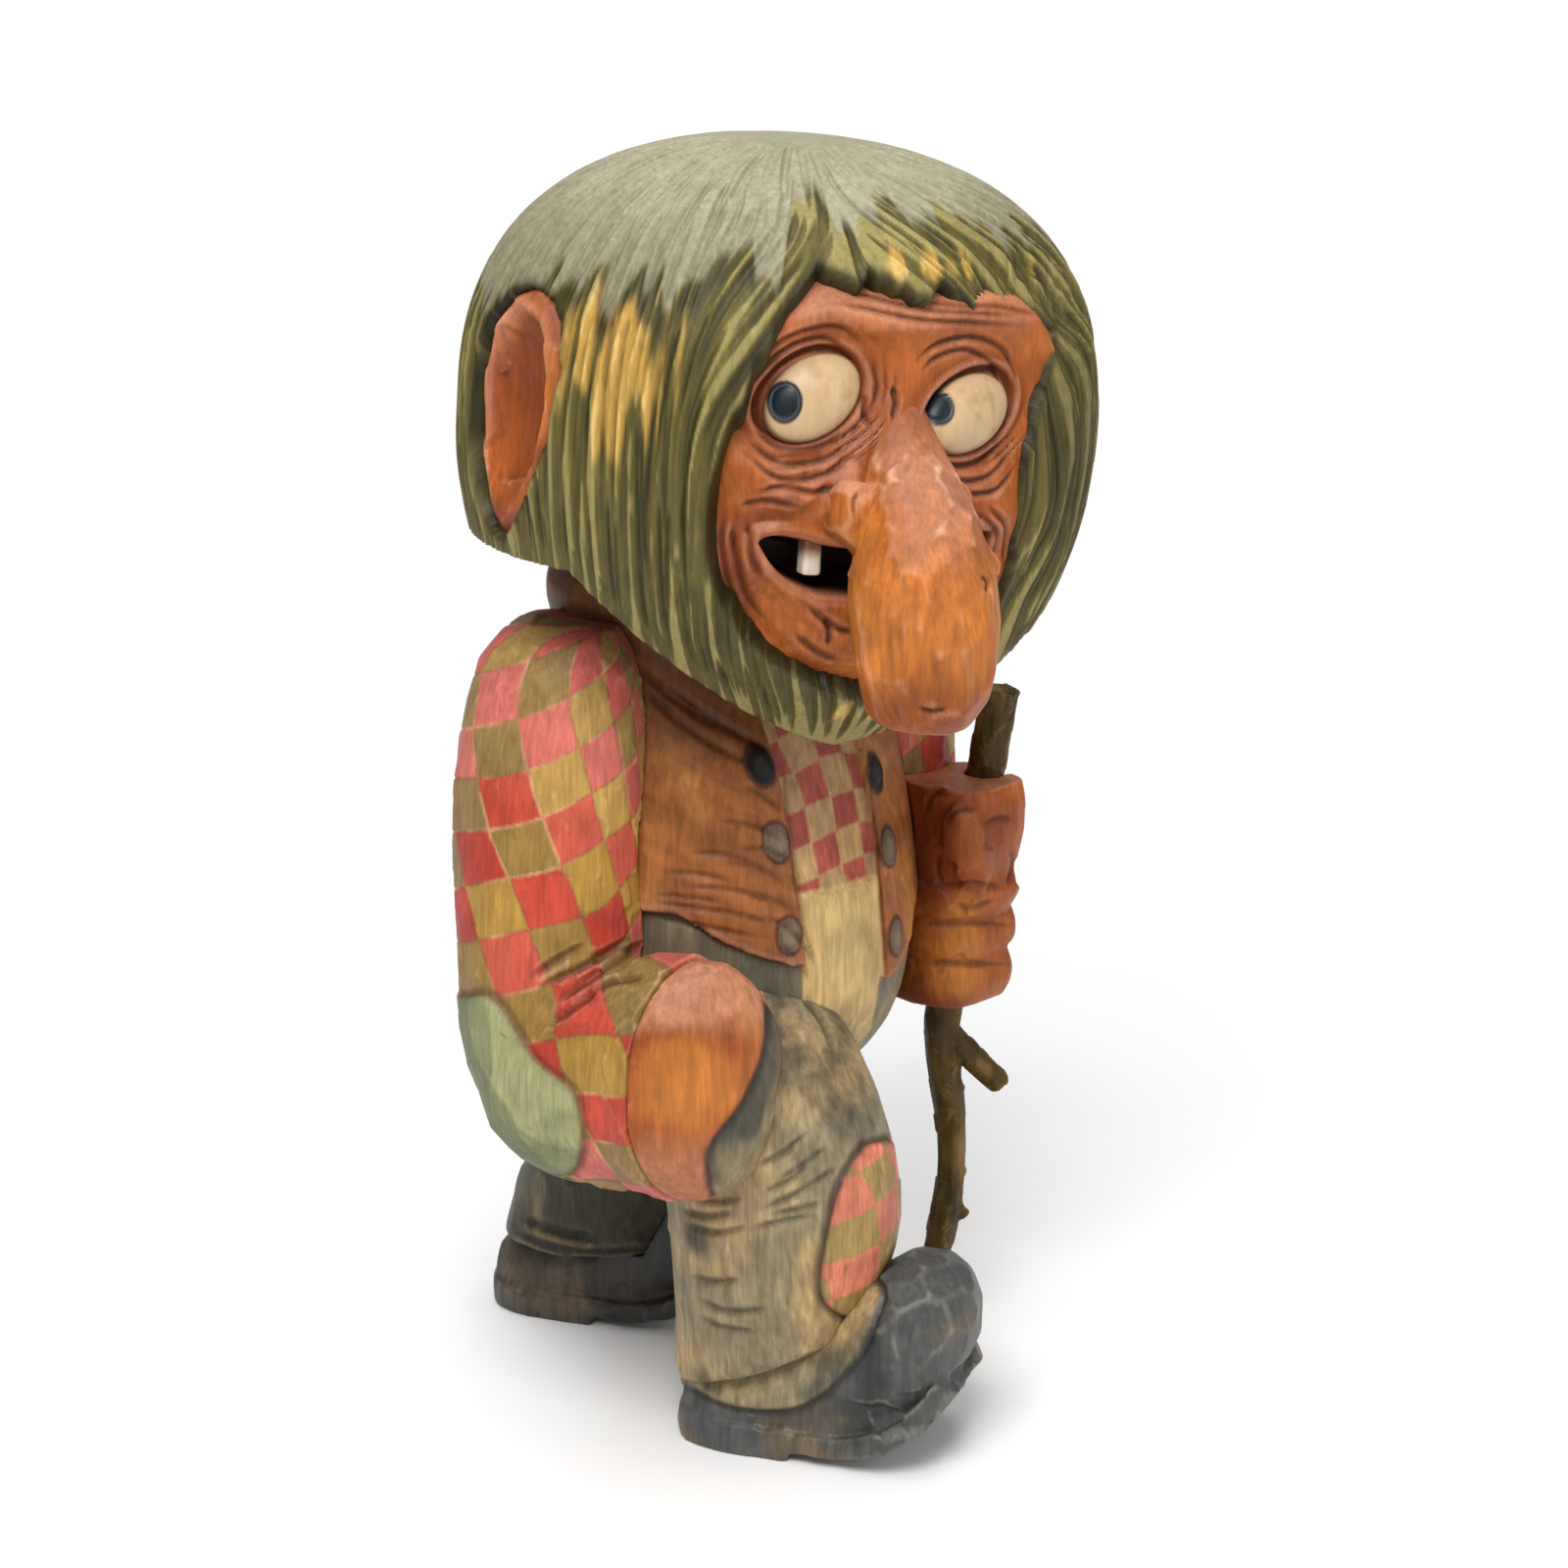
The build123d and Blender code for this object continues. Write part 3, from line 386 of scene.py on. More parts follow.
    def finish(self, material, node, slot, body="figure", brushed=0.13):
        """Makes the Blender piece that stands for a CAD node, with the unevenness of a brushed stain."""
        uneven = noise(self.points, (1.2, 1.2, 7.0), 201) + 0.8 * cloud(self.points, 4.5, 202)
        self.shade(1 + brushed * uneven)
        mesh = bpy.data.meshes.new(self.name)
        count, sides = self.faces.shape
        mesh.vertices.add(len(self.points))
        mesh.vertices.foreach_set("co", ((self.points + SHIFT) * MM).astype(np.float32).ravel())
        mesh.loops.add(count * sides)
        mesh.loops.foreach_set("vertex_index", self.faces.astype(np.int32).ravel())
        mesh.polygons.add(count)
        mesh.polygons.foreach_set("loop_start", np.arange(0, count * sides, sides, dtype=np.int32))
        mesh.polygons.foreach_set("use_smooth", np.ones(count, bool))
        mesh.update(calc_edges=True)
        mesh.validate()
        layer = mesh.color_attributes.new("stain", "FLOAT_COLOR", "POINT")
        rgba = np.ones((len(self.points), 4), np.float32)
        rgba[:, :3] = np.clip(self.colour, 0, 1)
        layer.data.foreach_set("color", rgba.ravel())
        mesh.materials.append(material)
        obj = put(self.name, mesh)
        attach(obj, body)
        if node:
            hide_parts(node)


def blank(name, node, voxel, rounds, clay=()):
    """Even mesh of a CAD node with lumps added: each lump is a place, half-sizes and turns in degrees."""
    bm = bmesh.new()
    bm.from_mesh(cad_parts[node].data)
    for place, size, turns in clay:
        matrix = Matrix.Translation(Vector((np.array(place) + SHIFT) * MM))
        for angle, axis in zip(turns, "XYZ"):
            matrix = matrix @ Matrix.Rotation(math.radians(angle), 4, axis)
        matrix = matrix @ Matrix.Diagonal((*(np.array(size) * MM), 1.0))
        bmesh.ops.create_icosphere(bm, subdivisions=4, radius=1.0, matrix=matrix)
    mesh = bpy.data.meshes.new(name + ".raw")
    bm.to_mesh(mesh)
    bm.free()
    obj = put(name + ".raw", mesh)
    even = obj.modifiers.new("even", "REMESH")
    even.mode = "VOXEL"
    even.voxel_size = voxel * MM
    made = obj.evaluated_get(bpy.context.evaluated_depsgraph_get()).to_mesh()
    points = np.empty(len(made.vertices) * 3, np.float32)
    made.vertices.foreach_get("co", points)
    faces = np.empty(len(made.loops), np.int32)
    made.loops.foreach_get("vertex_index", faces)
    points = points.reshape(-1, 3).astype(float) / MM - SHIFT
    carving = Carving(name, points, faces.reshape(-1, 4).astype(np.int64))
    bpy.data.objects.remove(obj)
    bpy.data.meshes.remove(mesh)
    carving.relax(rounds)
    return carving


def rough_out(name, node, voxel, rounds, cuts, settle):
    """Block of a CAD node with flat cuts of a spacing, share and seed, softened by some rounds."""
    block = blank(name, node, voxel, rounds)
    block.chisel(*cuts)
    block.relax(settle)
    return block


# Head


def head_turn():
    """Turn from the head's own frame to the figure's: a roll, then a yaw."""
    c, s = math.cos(HEAD_ROLL), math.sin(HEAD_ROLL)
    roll = np.array(((c, 0, s), (0, 1, 0), (-s, 0, c)))
    c, s = math.cos(HEAD_YAW), math.sin(HEAD_YAW)
    return np.array(((c, -s, 0), (s, c, 0), (0, 0, 1))) @ roll


HEAD_TURN = head_turn()


def head_to_figure(local):
    """Figure's frame from the head's own frame."""
    return local @ HEAD_TURN.T + HEAD_MIDDLE


def figure_to_head(points):
    """The head's own frame from the figure's frame."""
    return (points - HEAD_MIDDLE) @ HEAD_TURN


def egg_spread(z, inset):
    """Share of the head's half-width that is left at a level."""
    up = np.clip(np.abs(z) / (HEAD_RISE - inset), 0, 1)
    down = np.clip(np.abs(z) / (HEAD_DROP - inset), 0, 1)
    crown = (1 - up**CROWN_POWER) ** (1 / CROWN_POWER)
    jaw = (1 - down**JAW_POWER) ** (1 / JAW_POWER)
    return np.where(z > 0, crown, jaw)


def egg_front(x, z, inset):
    """How far forward the front of the egg stands."""
    spread = egg_spread(z, inset)
    half = np.maximum((HEAD_HALF_WIDTH - inset) * spread, 1e-6)
    return -(HEAD_HALF_DEPTH - inset) * spread * np.sqrt(np.clip(1 - (x / half) ** 2, 0, 1))


def head_sight(pixel):
    """Start and direction of a pixel's line of sight, in the head's frame."""
    return figure_to_head(EYE_POINT), sight_line(pixel) @ HEAD_TURN


def on_egg(pixel, inset):
    """Place in the head's frame where a pixel's line of sight meets the egg."""
    start, ahead = head_sight(pixel)
    p = start + np.linspace(650, 1050, 4001)[:, None] * ahead
    spread = egg_spread(p[:, 2], inset)
    wide = (p[:, 0] / (HEAD_HALF_WIDTH - inset)) ** 2 + (p[:, 1] / (HEAD_HALF_DEPTH - inset)) ** 2
    hit = np.flatnonzero(wide < spread**2)
    return p[hit[0] if len(hit) else np.argmin(wide - spread**2)]


def on_face(*pixels):
    """Flat places on the face, across and up in the head's frame, of pixels of the photograph."""
    return np.array([on_egg(p, HAIR_DEPTH)[[0, 2]] for p in pixels])


# Edge of the hair round the face, in pixels, from the parting along the fringe and round the chin
HAIR_EDGE_PX = (
    (826, 268), (866, 289), (880, 275), (943, 306), (955, 288), (991, 309), (1003, 296), (1029, 307),
    (1042, 298), (1071, 313), (1084, 328), (1080, 392), (1064, 462), (1050, 522), (1040, 600), (905, 725),
    (847, 705), (793, 679), (752, 648), (727, 606), (715, 562), (716, 510), (728, 464), (751, 400),
    (780, 340), (808, 294),
)
FRINGE_CORNERS = 10
# Far side of the jaw, which the nose hides: across and up on the head, much as on the near side
FAR_JAW = ((33.0, -42.5), (23.0, -52.0))
FAR_JAW_AT = 15


def neck_face(x, y):
    """Level of the underside of the hair: a keel under the chin, and a level hem at the back."""
    return np.minimum(-47.0 + 0.577 * y + 0.538 * np.abs(x), -HAIR_HEM_DROP)


def hair_edge():
    """Edge of the hair in the head's frame, across and up: sharp along the fringe, smooth elsewhere."""
    x, y, z = np.array([on_egg(p, 3.0) for p in HAIR_EDGE_PX]).T
    corners = np.column_stack((x, np.maximum(z, neck_face(x, y) + EDGE_OVER_HEM)))
    corners = np.vstack((corners[:FAR_JAW_AT], FAR_JAW, corners[FAR_JAW_AT:]))
    sides = smooth_path(np.vstack((corners[FRINGE_CORNERS:], corners[:1])), 6)
    return np.vstack((corners[:FRINGE_CORNERS], sides[:-1]))


HAIR_EDGE = hair_edge()
FRONT_COLUMNS = 320
SIDE_COLUMNS = 640
HAIR_ROWS = 210
LIP_ROWS = 24
LIP_REACH = 0.85
LIP_MIDDLE = 12.0
# Distance of what lies far from any edge, and how far the hair runs on past an edge, in millimetres
FAR_OFF = -50.0
HAIR_OVERLAP = 4.0


def ear_edge(node):
    """Outline of an ear on the side of the head, back and up in the head's frame."""
    corners = np.array([v.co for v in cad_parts[node].data.vertices]) / MM - SHIFT
    local = figure_to_head(corners)
    flat = local[np.abs(local[:, 0]) > EAR_RIM_FROM][:, 1:]
    middle = flat.mean(0)
    angle = np.linspace(-math.pi, math.pi, 48, endpoint=False)
    ahead = np.column_stack((np.cos(angle), np.sin(angle)))
    reach = ((flat - middle) @ ahead.T).max(0)
    ring = []
    for k in range(len(angle)):
        pair = [k, (k + 1) % len(angle)]
        ring.append(np.linalg.solve(ahead[pair], reach[pair]))
    return middle + np.array(ring)


def egg_profile(polar):
    """Share of the half-width and level at an angle from the top of the egg, in radians."""
    s, c = np.sin(polar), np.cos(polar)
    power = np.where(c > 0, CROWN_POWER, JAW_POWER)
    level = np.sign(c) * np.abs(c) ** (2 / power) * np.where(c > 0, HEAD_RISE, HEAD_DROP)
    return np.abs(s) ** (2 / power), level


def hair_grid():
    """Egg of the hair as rows and columns, its angle from the top, and the angles of its columns.

    Columns are closer together round the face. Angles are in degrees.
    """
    front = np.linspace(-46, 46, FRONT_COLUMNS, endpoint=False)
    turn = np.concatenate((front, np.linspace(46, 314, SIDE_COLUMNS, endpoint=False)))
    across, back = np.sin(np.radians(turn)), -np.cos(np.radians(turn))
    low, high = np.full(len(turn), 1.0), np.full(len(turn), 3.1)
    for _ in range(40):
        middle = (low + high) / 2
        spread, level = egg_profile(middle)
        above = level > neck_face(HEAD_HALF_WIDTH * spread * across, HEAD_HALF_DEPTH * spread * back)
        low, high = np.where(above, middle, low), np.where(above, high, middle)
    polar = np.linspace(0.0005, 1, HAIR_ROWS)[:, None] * low[None]
    spread, level = egg_profile(polar)
    grid = np.stack((HEAD_HALF_WIDTH * spread * across, HEAD_HALF_DEPTH * spread * back, level), axis=-1)
    return grid, np.degrees(polar), turn


def hair_flow(turn, polar):
    """Sideways drift of strokes as they run down: they part over the right eye and sweep round the face."""
    fringe = ramp(turn, -16, -8) * ramp(turn, 70, 45) * ramp(polar, 16, 32) * ramp(polar, 80, 62)
    temple = ramp(turn, -48, -30) * ramp(turn, -6, -14) * ramp(polar, 38, 52) * ramp(polar, 100, 82)
    under = ramp(turn, -60, -30) * ramp(turn, 8, -8) * ramp(polar, 112, 128)
    return 0.85 * fringe - 0.55 * temple + 0.3 * under


# Bands of strokes: range of start and of length in degrees from the top, count, half-width and depth
HAIR_BANDS = (
    ((8, 26), (22, 40), 100, 1.1, 0.7),
    ((24, 44), (28, 50), 150, 1.15, 0.9),
    ((42, 64), (32, 56), 190, 1.2, 1.05),
    ((60, 86), (32, 54), 210, 1.2, 1.1),
    ((82, 108), (28, 48), 210, 1.2, 1.05),
    ((104, 130), (22, 38), 190, 1.15, 0.95),
)
STROKE_STEPS = 30


def hair_strokes(grid, polar, turn):
    """Depth of the gouge strokes over the hair: hollow channels between sharp ridges, pointed at the top."""
    rng = np.random.default_rng(11)
    depth = np.zeros(polar.shape)
    radius = np.hypot(grid[..., 0], grid[..., 1])
    for start, length, count, width, deep in HAIR_BANDS:
        for k in range(count):
            begin = rng.uniform(*start)
            end = begin + rng.uniform(*length)
            at = -180 + 360 * (k + rng.uniform(0, 1)) / count
            steps = np.linspace(begin, end, STROKE_STEPS)
            line = np.empty(STROKE_STEPS)
            wave = rng.uniform(-0.06, 0.06)
            for j, angle in enumerate(steps):
                line[j] = at
                at += (hair_flow(at, angle) + wave) * (steps[1] - steps[0])
            wide = width * rng.uniform(0.75, 1.25)
            bite = deep * rng.uniform(0.7, 1.15)
            reach = np.degrees(1.3 * wide / 30)
            gap = (turn[:, None] - np.array((line.min() - reach, line.max() + reach)) + 180) % 360 - 180
            columns = np.flatnonzero((gap[:, 0] > 0) & (gap[:, 1] < 0))
            p = polar[:, columns]
            share = (p - begin) / (end - begin)
            off = (turn[columns] - np.interp(p, steps, line) + 180) % 360 - 180
            d = np.abs(np.radians(off)) * radius[:, columns]
            ends = ramp(share, 0, 0.2) * ramp(share, 1, 0.55)
            groove = bite * ends * np.clip(1 - (d / (wide * (0.3 + 0.7 * ends))) ** 1.6, 0, 1)
            depth[:, columns] = np.maximum(depth[:, columns], groove)
    return depth


def strand_places(around, z):
    """Places for noise that runs down along the strands."""
    return np.column_stack((around * 1.25, 0.02 * z, 0 * z))


def hair_lip(last):
    """Rows that turn the underside of the hair in to the neck, from the last row of the shell."""
    lip = []
    for share in np.arange(1, LIP_ROWS + 1) / LIP_ROWS:
        x = last[:, 0] * (1 - LIP_REACH * share)
        y = LIP_MIDDLE + (last[:, 1] - LIP_MIDDLE) * (1 - LIP_REACH * share)
        z = np.maximum(neck_face(x, y), neck_face(last[:, 0], last[:, 1]) - 60) + 0.4 * share
        lip.append(np.column_stack((x, y, z)))
    return lip


def hair():
    """Carved cap of hair, open round the face and the ears, with the underside turned in to the neck."""
    grid, polar, turn = hair_grid()
    rows, columns = polar.shape
    flat = grid.reshape(-1, 3)
    down, sideways = np.gradient(grid, axis=(0, 1))
    normal = unit(np.cross(sideways, down).reshape(-1, 3))
    normal *= np.sign((normal * (flat - (0, 0, -5))).sum(1))[:, None]
    around = np.tile(turn, rows)
    edge = np.where(flat[:, 1] < 0, inside(flat[:, (0, 2)], HAIR_EDGE), FAR_OFF)
    edge += 0.7 * noise(strand_places(around, flat[:, 2]), 2.2, 12)
    ears = np.full(len(flat), FAR_OFF)
    for side, node in zip(BOTH_SIDES, ("right_ear", "left_ear")):
        there = np.flatnonzero(side * flat[:, 0] > 30)
        ears[there] = inside(flat[there][:, 1:], ear_edge(node))
    worn = 0.2 * noise(flat, (9, 9, 14), 5)
    bevel = 4.6 * ramp(edge, -11, 0) * ramp(flat[:, 0], 8, 26)
    wall = 11.0 * ramp(edge, -0.4, 1.6) + 12.0 * ramp(ears, -0.4, 1.6)
    hem = np.linspace(0, 1, rows)[:, None]
    depth = (hair_strokes(grid, polar, turn) * (1 - 0.6 * ramp(hem, 0.955, 1.0))).ravel()
    shell = flat + normal * ((0.45 + worn - depth) * ramp(polar.ravel(), 1.0, 6.0) - bevel - wall)[:, None]
    local = np.vstack((shell, *hair_lip(shell[-columns:])))
    lip_count = LIP_ROWS * columns
    edge = np.concatenate((np.maximum(edge, ears), np.full(lip_count, FAR_OFF)))
    faces = round_faces(rows + LIP_ROWS, columns)
    cap = Carving("hair_cap", head_to_figure(local), faces[edge[faces].min(1) < HAIR_OVERLAP])
    groove = np.concatenate((depth / 1.3, np.full(lip_count, 0.9)))
    stain_hair(cap, local, groove, edge, np.tile(turn, rows + LIP_ROWS))
    return cap


MOSS = stain(90, 81, 40)
MOSS_PALE = stain(164, 150, 92)
MOSS_DARK = stain(30, 28, 11)
GOLD = stain(184, 146, 70)
GOLD_PALE = stain(216, 184, 118)
# Grey crown of the hair is painted sheen; its paler tone is painted highlight on upward faces and ridges
CROWN = stain(132, 127, 101)
CROWN_HIGHLIGHT = stain(154, 150, 125)
# Bare places of the hair, in pixels: middle, half-width, half-height and share
BARE_HAIR_PX = (((625, 375), 66, 82, 1.0), ((965, 272), 110, 22, 0.55), ((880, 728), 60, 16, 0.55))


def crown_line(u):
    """Pixel rows at which the grey crown, a painted sheen, ends: lower at the figure's right, higher over the
    fringe.
    """
    fringe = 200 + 0.15 * (u - 812)
    return 286 + (fringe - 286) * ramp(u, 790, 816)


def stain_hair(cap, local, groove, edge, around):
    """Moss green with pale ridges and bare gold at the sides and fringe; a ragged grey crown of painted
    sheen; stain and painted shade in the grooves; painted shade at the edges.
    """
    z = local[:, 2]
    strand = strand_places(around, z)
    ragged = 6.0 * noise(strand, 2.6, 23) + 4.0 * noise(strand, 8.0, 24)
    streak = noise(strand, (2.0, 0.5, 1.0), 21)
    patch = cloud(local, (26, 26, 30), 22)
    u, v = cap.photo.T
    seen = ramp(cap.facing, -0.2, 0.1)
    bare = [share * hump(u, v, middle, wide, high) for middle, wide, high, share in BARE_HAIR_PX]
    gold = seen * np.max(bare, axis=0) + (1 - seen) * bell(z - 6, 18) * ramp(patch, -0.2, 0.5)
    gold = ramp(gold + 0.5 * streak + 0.15 * patch, 0.5, 0.78)
    over = seen * (crown_line(u) - v) / PX_PER_MM + (1 - seen) * (z - 20)
    crown = ramp(over + ragged + 3 * patch, -1.5, 2.5)
    cap.colour = blend(MOSS, MOSS * 1.5, ramp(streak + 0.5 * patch, -0.1, 1.0))
    cap.tint(MOSS * 0.66, 0.7 * ramp(-z + 10 * patch, 14, 46))
    cap.tint(GOLD, 0.92 * gold)
    # Grey crown: painted sheen, made paler on upward faces as painted highlight
    cap.tint(CROWN, 0.95 * crown)
    cap.tint(CROWN_HIGHLIGHT, 0.7 * crown * ramp(cap.normals[:, 2], 0.5, 0.95))
    # Pale ridges: rubbed wear, which takes the crown's painted highlight on the crown
    ridge = ramp(groove, 0.17, 0.02) * ramp(over + ragged, 12, -8)
    cap.tint(blend(blend(MOSS_PALE, GOLD_PALE, gold), CROWN_HIGHLIGHT, crown), 0.58 * ridge)
    # Darker in the grooves: stain gathered there, and painted shade
    cap.tint(MOSS_DARK, 0.85 * ramp(groove, 0.45, 0.95) * (1 - 0.62 * crown) * (1 - 0.3 * gold))
    cap.tint(MOSS_DARK, 0.6 * bell(over + ragged + 3.5, 4.0) * ramp(groove, 0.05, 0.5))
    # Painted shade down the figure's left side of the hair, from just under the top
    cap.shade(1 - 0.4 * seen * ramp(u, 1056, 1090) * ramp(v, 300, 380))
    # Painted shade along the edge of the hair round the face, where the hair overhangs it
    cap.tint(MOSS_DARK, 0.85 * ramp(edge, -1.2 - 1.6 * ramp(z, 12, 20), 0.4))


# Ridges and folds of the face: pixels of the line, height and half-width in millimetres
FACE_RIDGES = (
    (
        ((752, 372), (790, 338), (838, 318), (890, 330), (930, 326), (985, 312), (1045, 328), (1076, 372)),
        4.2, 4.6,
    ),
    (((748, 470), (790, 500), (830, 512), (858, 505)), 4.4, 5.5),
    (((778, 580), (800, 606), (835, 622), (868, 628)), 2.6, 3.4),
    (((862, 470), (815, 520), (768, 532), (742, 560), (752, 612), (790, 655)), -1.2, 1.6),
)
# Humps of the face: pixel of the middle, height, half-width and half-height in millimetres
FACE_HUMPS = (
    ((1018, 528), 4.4, 6.5, 6.5), ((862, 660), 4.6, 17.0, 8.0),
    ((748, 572), 3.4, 6.0, 11.0), ((790, 648), 2.4, 9.0, 8.0),
)
FOREHEAD_PX = (
    ((838, 292), (880, 300), (930, 312), (985, 316), (1040, 318)),
    ((832, 304), (875, 312), (925, 322), (980, 326), (1048, 330)),
    ((905, 300), (960, 308), (1010, 310), (1060, 322)),
    ((850, 284), (885, 292), (920, 302)),
)
EYE_LINES_PX = (
    ((762, 398), (782, 372), (812, 352), (845, 346), (872, 362)),
    ((752, 410), (770, 366), (806, 340), (850, 332), (882, 352)),
    ((768, 438), (800, 458), (840, 456), (872, 436)),
    ((758, 446), (795, 472), (842, 470), (880, 446)),
    ((752, 458), (790, 486), (838, 484), (876, 462)),
    ((936, 382), (958, 364), (990, 358), (1020, 376), (1030, 410)),
    ((930, 372), (955, 350), (995, 344), (1030, 362), (1044, 405)),
    ((940, 452), (965, 474), (1000, 474), (1030, 446)),
    ((945, 464), (968, 488), (1005, 488), (1038, 456)),
    ((952, 478), (976, 502), (1012, 500), (1040, 470)),
)
CHEEK_LINES_PX = (
    ((760, 500), (792, 494), (828, 500), (856, 492)), ((748, 516), (776, 508), (812, 516)),
    ((736, 520), (734, 560), (744, 604), (768, 640)), ((748, 522), (746, 560), (756, 600), (784, 640)),
    ((762, 530), (760, 560), (770, 592)), ((990, 520), (1006, 536), (1012, 566), (1006, 600)),
    ((1002, 512), (1020, 540), (1024, 580)), ((990, 548), (1000, 575), (1000, 605)),
    ((800, 640), (824, 660), (850, 672)), ((834, 622), (838, 640), (836, 656)),
    ((812, 610), (840, 634), (866, 642)), ((888, 400), (884, 420), (890, 440)),
    ((912, 392), (914, 412), (908, 432)),
)
# Cuts in the face with their half-width and depth in millimetres
FACE_CUTS = ((FOREHEAD_PX, 1.3, 0.9), (EYE_LINES_PX, 1.2, 0.9), (CHEEK_LINES_PX, 1.3, 1.0))
MOUTH_PX = (
    (770, 552), (790, 546), (815, 549), (842, 556), (868, 560), (905, 562), (960, 556), (998, 540),
    (1004, 548), (985, 580), (940, 604), (900, 612), (865, 608), (832, 604), (800, 590), (780, 572),
)
FACE_STEP = 0.38
MOUTH_DEPTH = 11.0
# How far the face runs on under the hair, and how far it stays above the underside of the hair
FACE_OVERLAP = 6.0
OVER_NECK = 0.8
# Half-length, half-height and tilt in degrees of the right eye and the left
EYE_OVALS = {-1: (11.4, 8.1, 38.0), 1: (12.8, 8.0, 17.0)}
EYE_PLACES = {-1: RIGHT_EYE, 1: LEFT_EYE}


def eye_distance(x, z, side):
    """Distance outside the rim of an eye, and the angle round it."""
    ex, ez = EYE_PLACES[side]
    a, b, tilt = EYE_OVALS[side]
    c, s = math.cos(math.radians(tilt)), math.sin(math.radians(tilt))
    u = (x - ex) * c + (z - ez) * s
    v = (z - ez) * c - (x - ex) * s
    return (np.hypot(u / a, v / b) - 1) * (a + b) / 2, np.arctan2(v, u)


def face():
    """Carved face inside the hair, as a relief on the egg under the hair."""
    x, z = np.meshgrid(np.arange(-46, 47, FACE_STEP), np.arange(-66, 46, FACE_STEP))
    index = np.arange(x.size).reshape(x.shape)
    x, z = x.ravel(), z.ravel()
    flat = np.column_stack((x, z))
    here = np.column_stack((x, 0 * x, z))
    relief = 2.6 * ramp(z, 24, 33) + 2.0 * hump(x, z, (0, 4), 9, 10)
    for line, height, width in FACE_RIDGES:
        relief += height * bell(to_path(flat, smooth_path(on_face(*line)))[0], width)
    for pixel, height, half_x, half_z in FACE_HUMPS:
        relief += height * hump(x, z, on_face(pixel)[0], half_x, half_z)
    wrinkle = np.zeros(len(x))
    for side in BOTH_SIDES:
        off, angle = eye_distance(x, z, side)
        relief -= 3.4 * np.exp(-np.clip(off, 0, None) ** 2 / 34)
        relief += 1.5 * bell(off - 2.0, 1.3) - 1.3 * bell(off - 0.2, 0.8)
        ripple = np.clip(np.cos(2 * math.pi * (off + 0.7 * cloud(here, 7, 34)) / 1.9), 0, 1) ** 2
        ripple *= ramp(off, 2.6, 3.6) * ramp(off, 11, 7) * ramp(-np.sin(angle), 0.1, 0.5)
        wrinkle = np.maximum(wrinkle, ripple * ramp(noise(here, (9, 1, 5), 35), -0.5, 0.4))
    relief -= 0.5 * wrinkle
    cut = 0.7 * wrinkle
    for lines, width, deep in FACE_CUTS:
        for line in lines:
            share = cut_along(flat, on_face(*line), width)
            cut = np.maximum(cut, share)
            relief -= deep * share
    fine = noise(here, (16, 1, 2.1), 31) * noise(here, (22, 1, 9), 32)
    relief += 0.22 * fine + 0.35 * cloud(here, (9, 1, 7), 33)
    mouth = inside(flat, smooth_ring(on_face(*MOUTH_PX)))
    relief += 1.3 * bell(mouth + 1.6, 1.5) - MOUTH_DEPTH * ramp(mouth, -0.4, 2.2)
    outside = -inside(flat, HAIR_EDGE)
    under = ramp(outside, 0.5, 4.0)
    slope = np.sqrt(np.clip(1 - (x / 70) ** 2, 0.25, 1))
    y = egg_front(x, z, HAIR_DEPTH) - (relief * (1 - under) - 1.5 * under) * slope
    faces = grid_faces(index.T)
    keep = outside[faces].max(1) < FACE_OVERLAP
    keep &= (z - neck_face(x, y))[faces].min(1) > OVER_NECK
    skin = Carving("face", head_to_figure(np.column_stack((x, y, z))), faces[keep])
    stain_face(skin, x, z, cut, mouth)
    return skin


SKIN = stain(166, 88, 36)
SKIN_RED = stain(130, 62, 28)
SKIN_PINK = stain(188, 128, 98)
SKIN_OCHRE = stain(190, 118, 50)
SKIN_DARK = stain(54, 22, 10)
SKIN_PALE = stain(226, 178, 150)
MOUTH_DARK = stain(30, 6, 3)


def stain_skin(block, seed):
    """Reddish stain with ochre patches, pink rubbed into the ridges, and pink on upward faces as painted
    highlight.
    """
    p = block.points
    block.colour = blend(SKIN, SKIN_RED, ramp(cloud(p, 16, seed), -0.2, 0.7))
    block.tint(SKIN_OCHRE, 0.7 * ramp(cloud(p, (20, 20, 26), seed + 3), 0.05, 0.7))
    # Pink on upward faces: painted highlight; pink on ridges: rubbed wear
    paler = ramp(block.normals[:, 2] + 0.5 * cloud(p, 14, seed + 6), 0.35, 1.0)
    block.tint(SKIN_PINK, 0.62 * np.maximum(paler, 0.7 * block.ridge(0.02, 0.09)))


def stain_face(skin, x, z, cut, mouth):
    """Skin that is dark round the eyes and in the mouth, darker in the cuts by stain and painted shade, and
    pink on the forehead as a painted highlight.
    """
    stain_skin(skin, 41)
    off = np.minimum(*(eye_distance(x, z, side)[0] for side in BOTH_SIDES))
    skin.tint(SKIN_RED * 0.62, 0.75 * np.exp(-np.clip(off, 0, None) ** 2 / 16))
    skin.tint(SKIN_PINK, 0.45 * skin.ridge(0.006, 0.04))
    # Dark in the cuts and hollows: stain gathered there, and painted shade
    skin.tint(SKIN_DARK, np.clip(0.6 * cut + 0.6 * skin.groove(0.008, 0.05), 0, 0.88))
    # Pink on the forehead: painted highlight
    skin.tint(SKIN_PINK, 0.5 * ramp(z, 24, 32) * (1 - cut))
    skin.tint(MOUTH_DARK, ramp(mouth, -0.6, 1.0))


# Eyes and tooth

EYE_CREAM = stain(190, 160, 122)
EYE_SMUDGE = stain(156, 112, 74)
PUPIL = stain(14, 26, 34)
PUPIL_LINE = stain(96, 98, 92)
PUPIL_HALF = (3.6, 4.6)
EYE_RINGS = 44
EYE_SPOKES = 96
EYE_TURN = math.radians(17.0)
EYE_LIFT = math.radians(12.0)
EYE_MARGIN = 0.3
EYE_SUNK = -4.2
EYE_DOME = 5.6


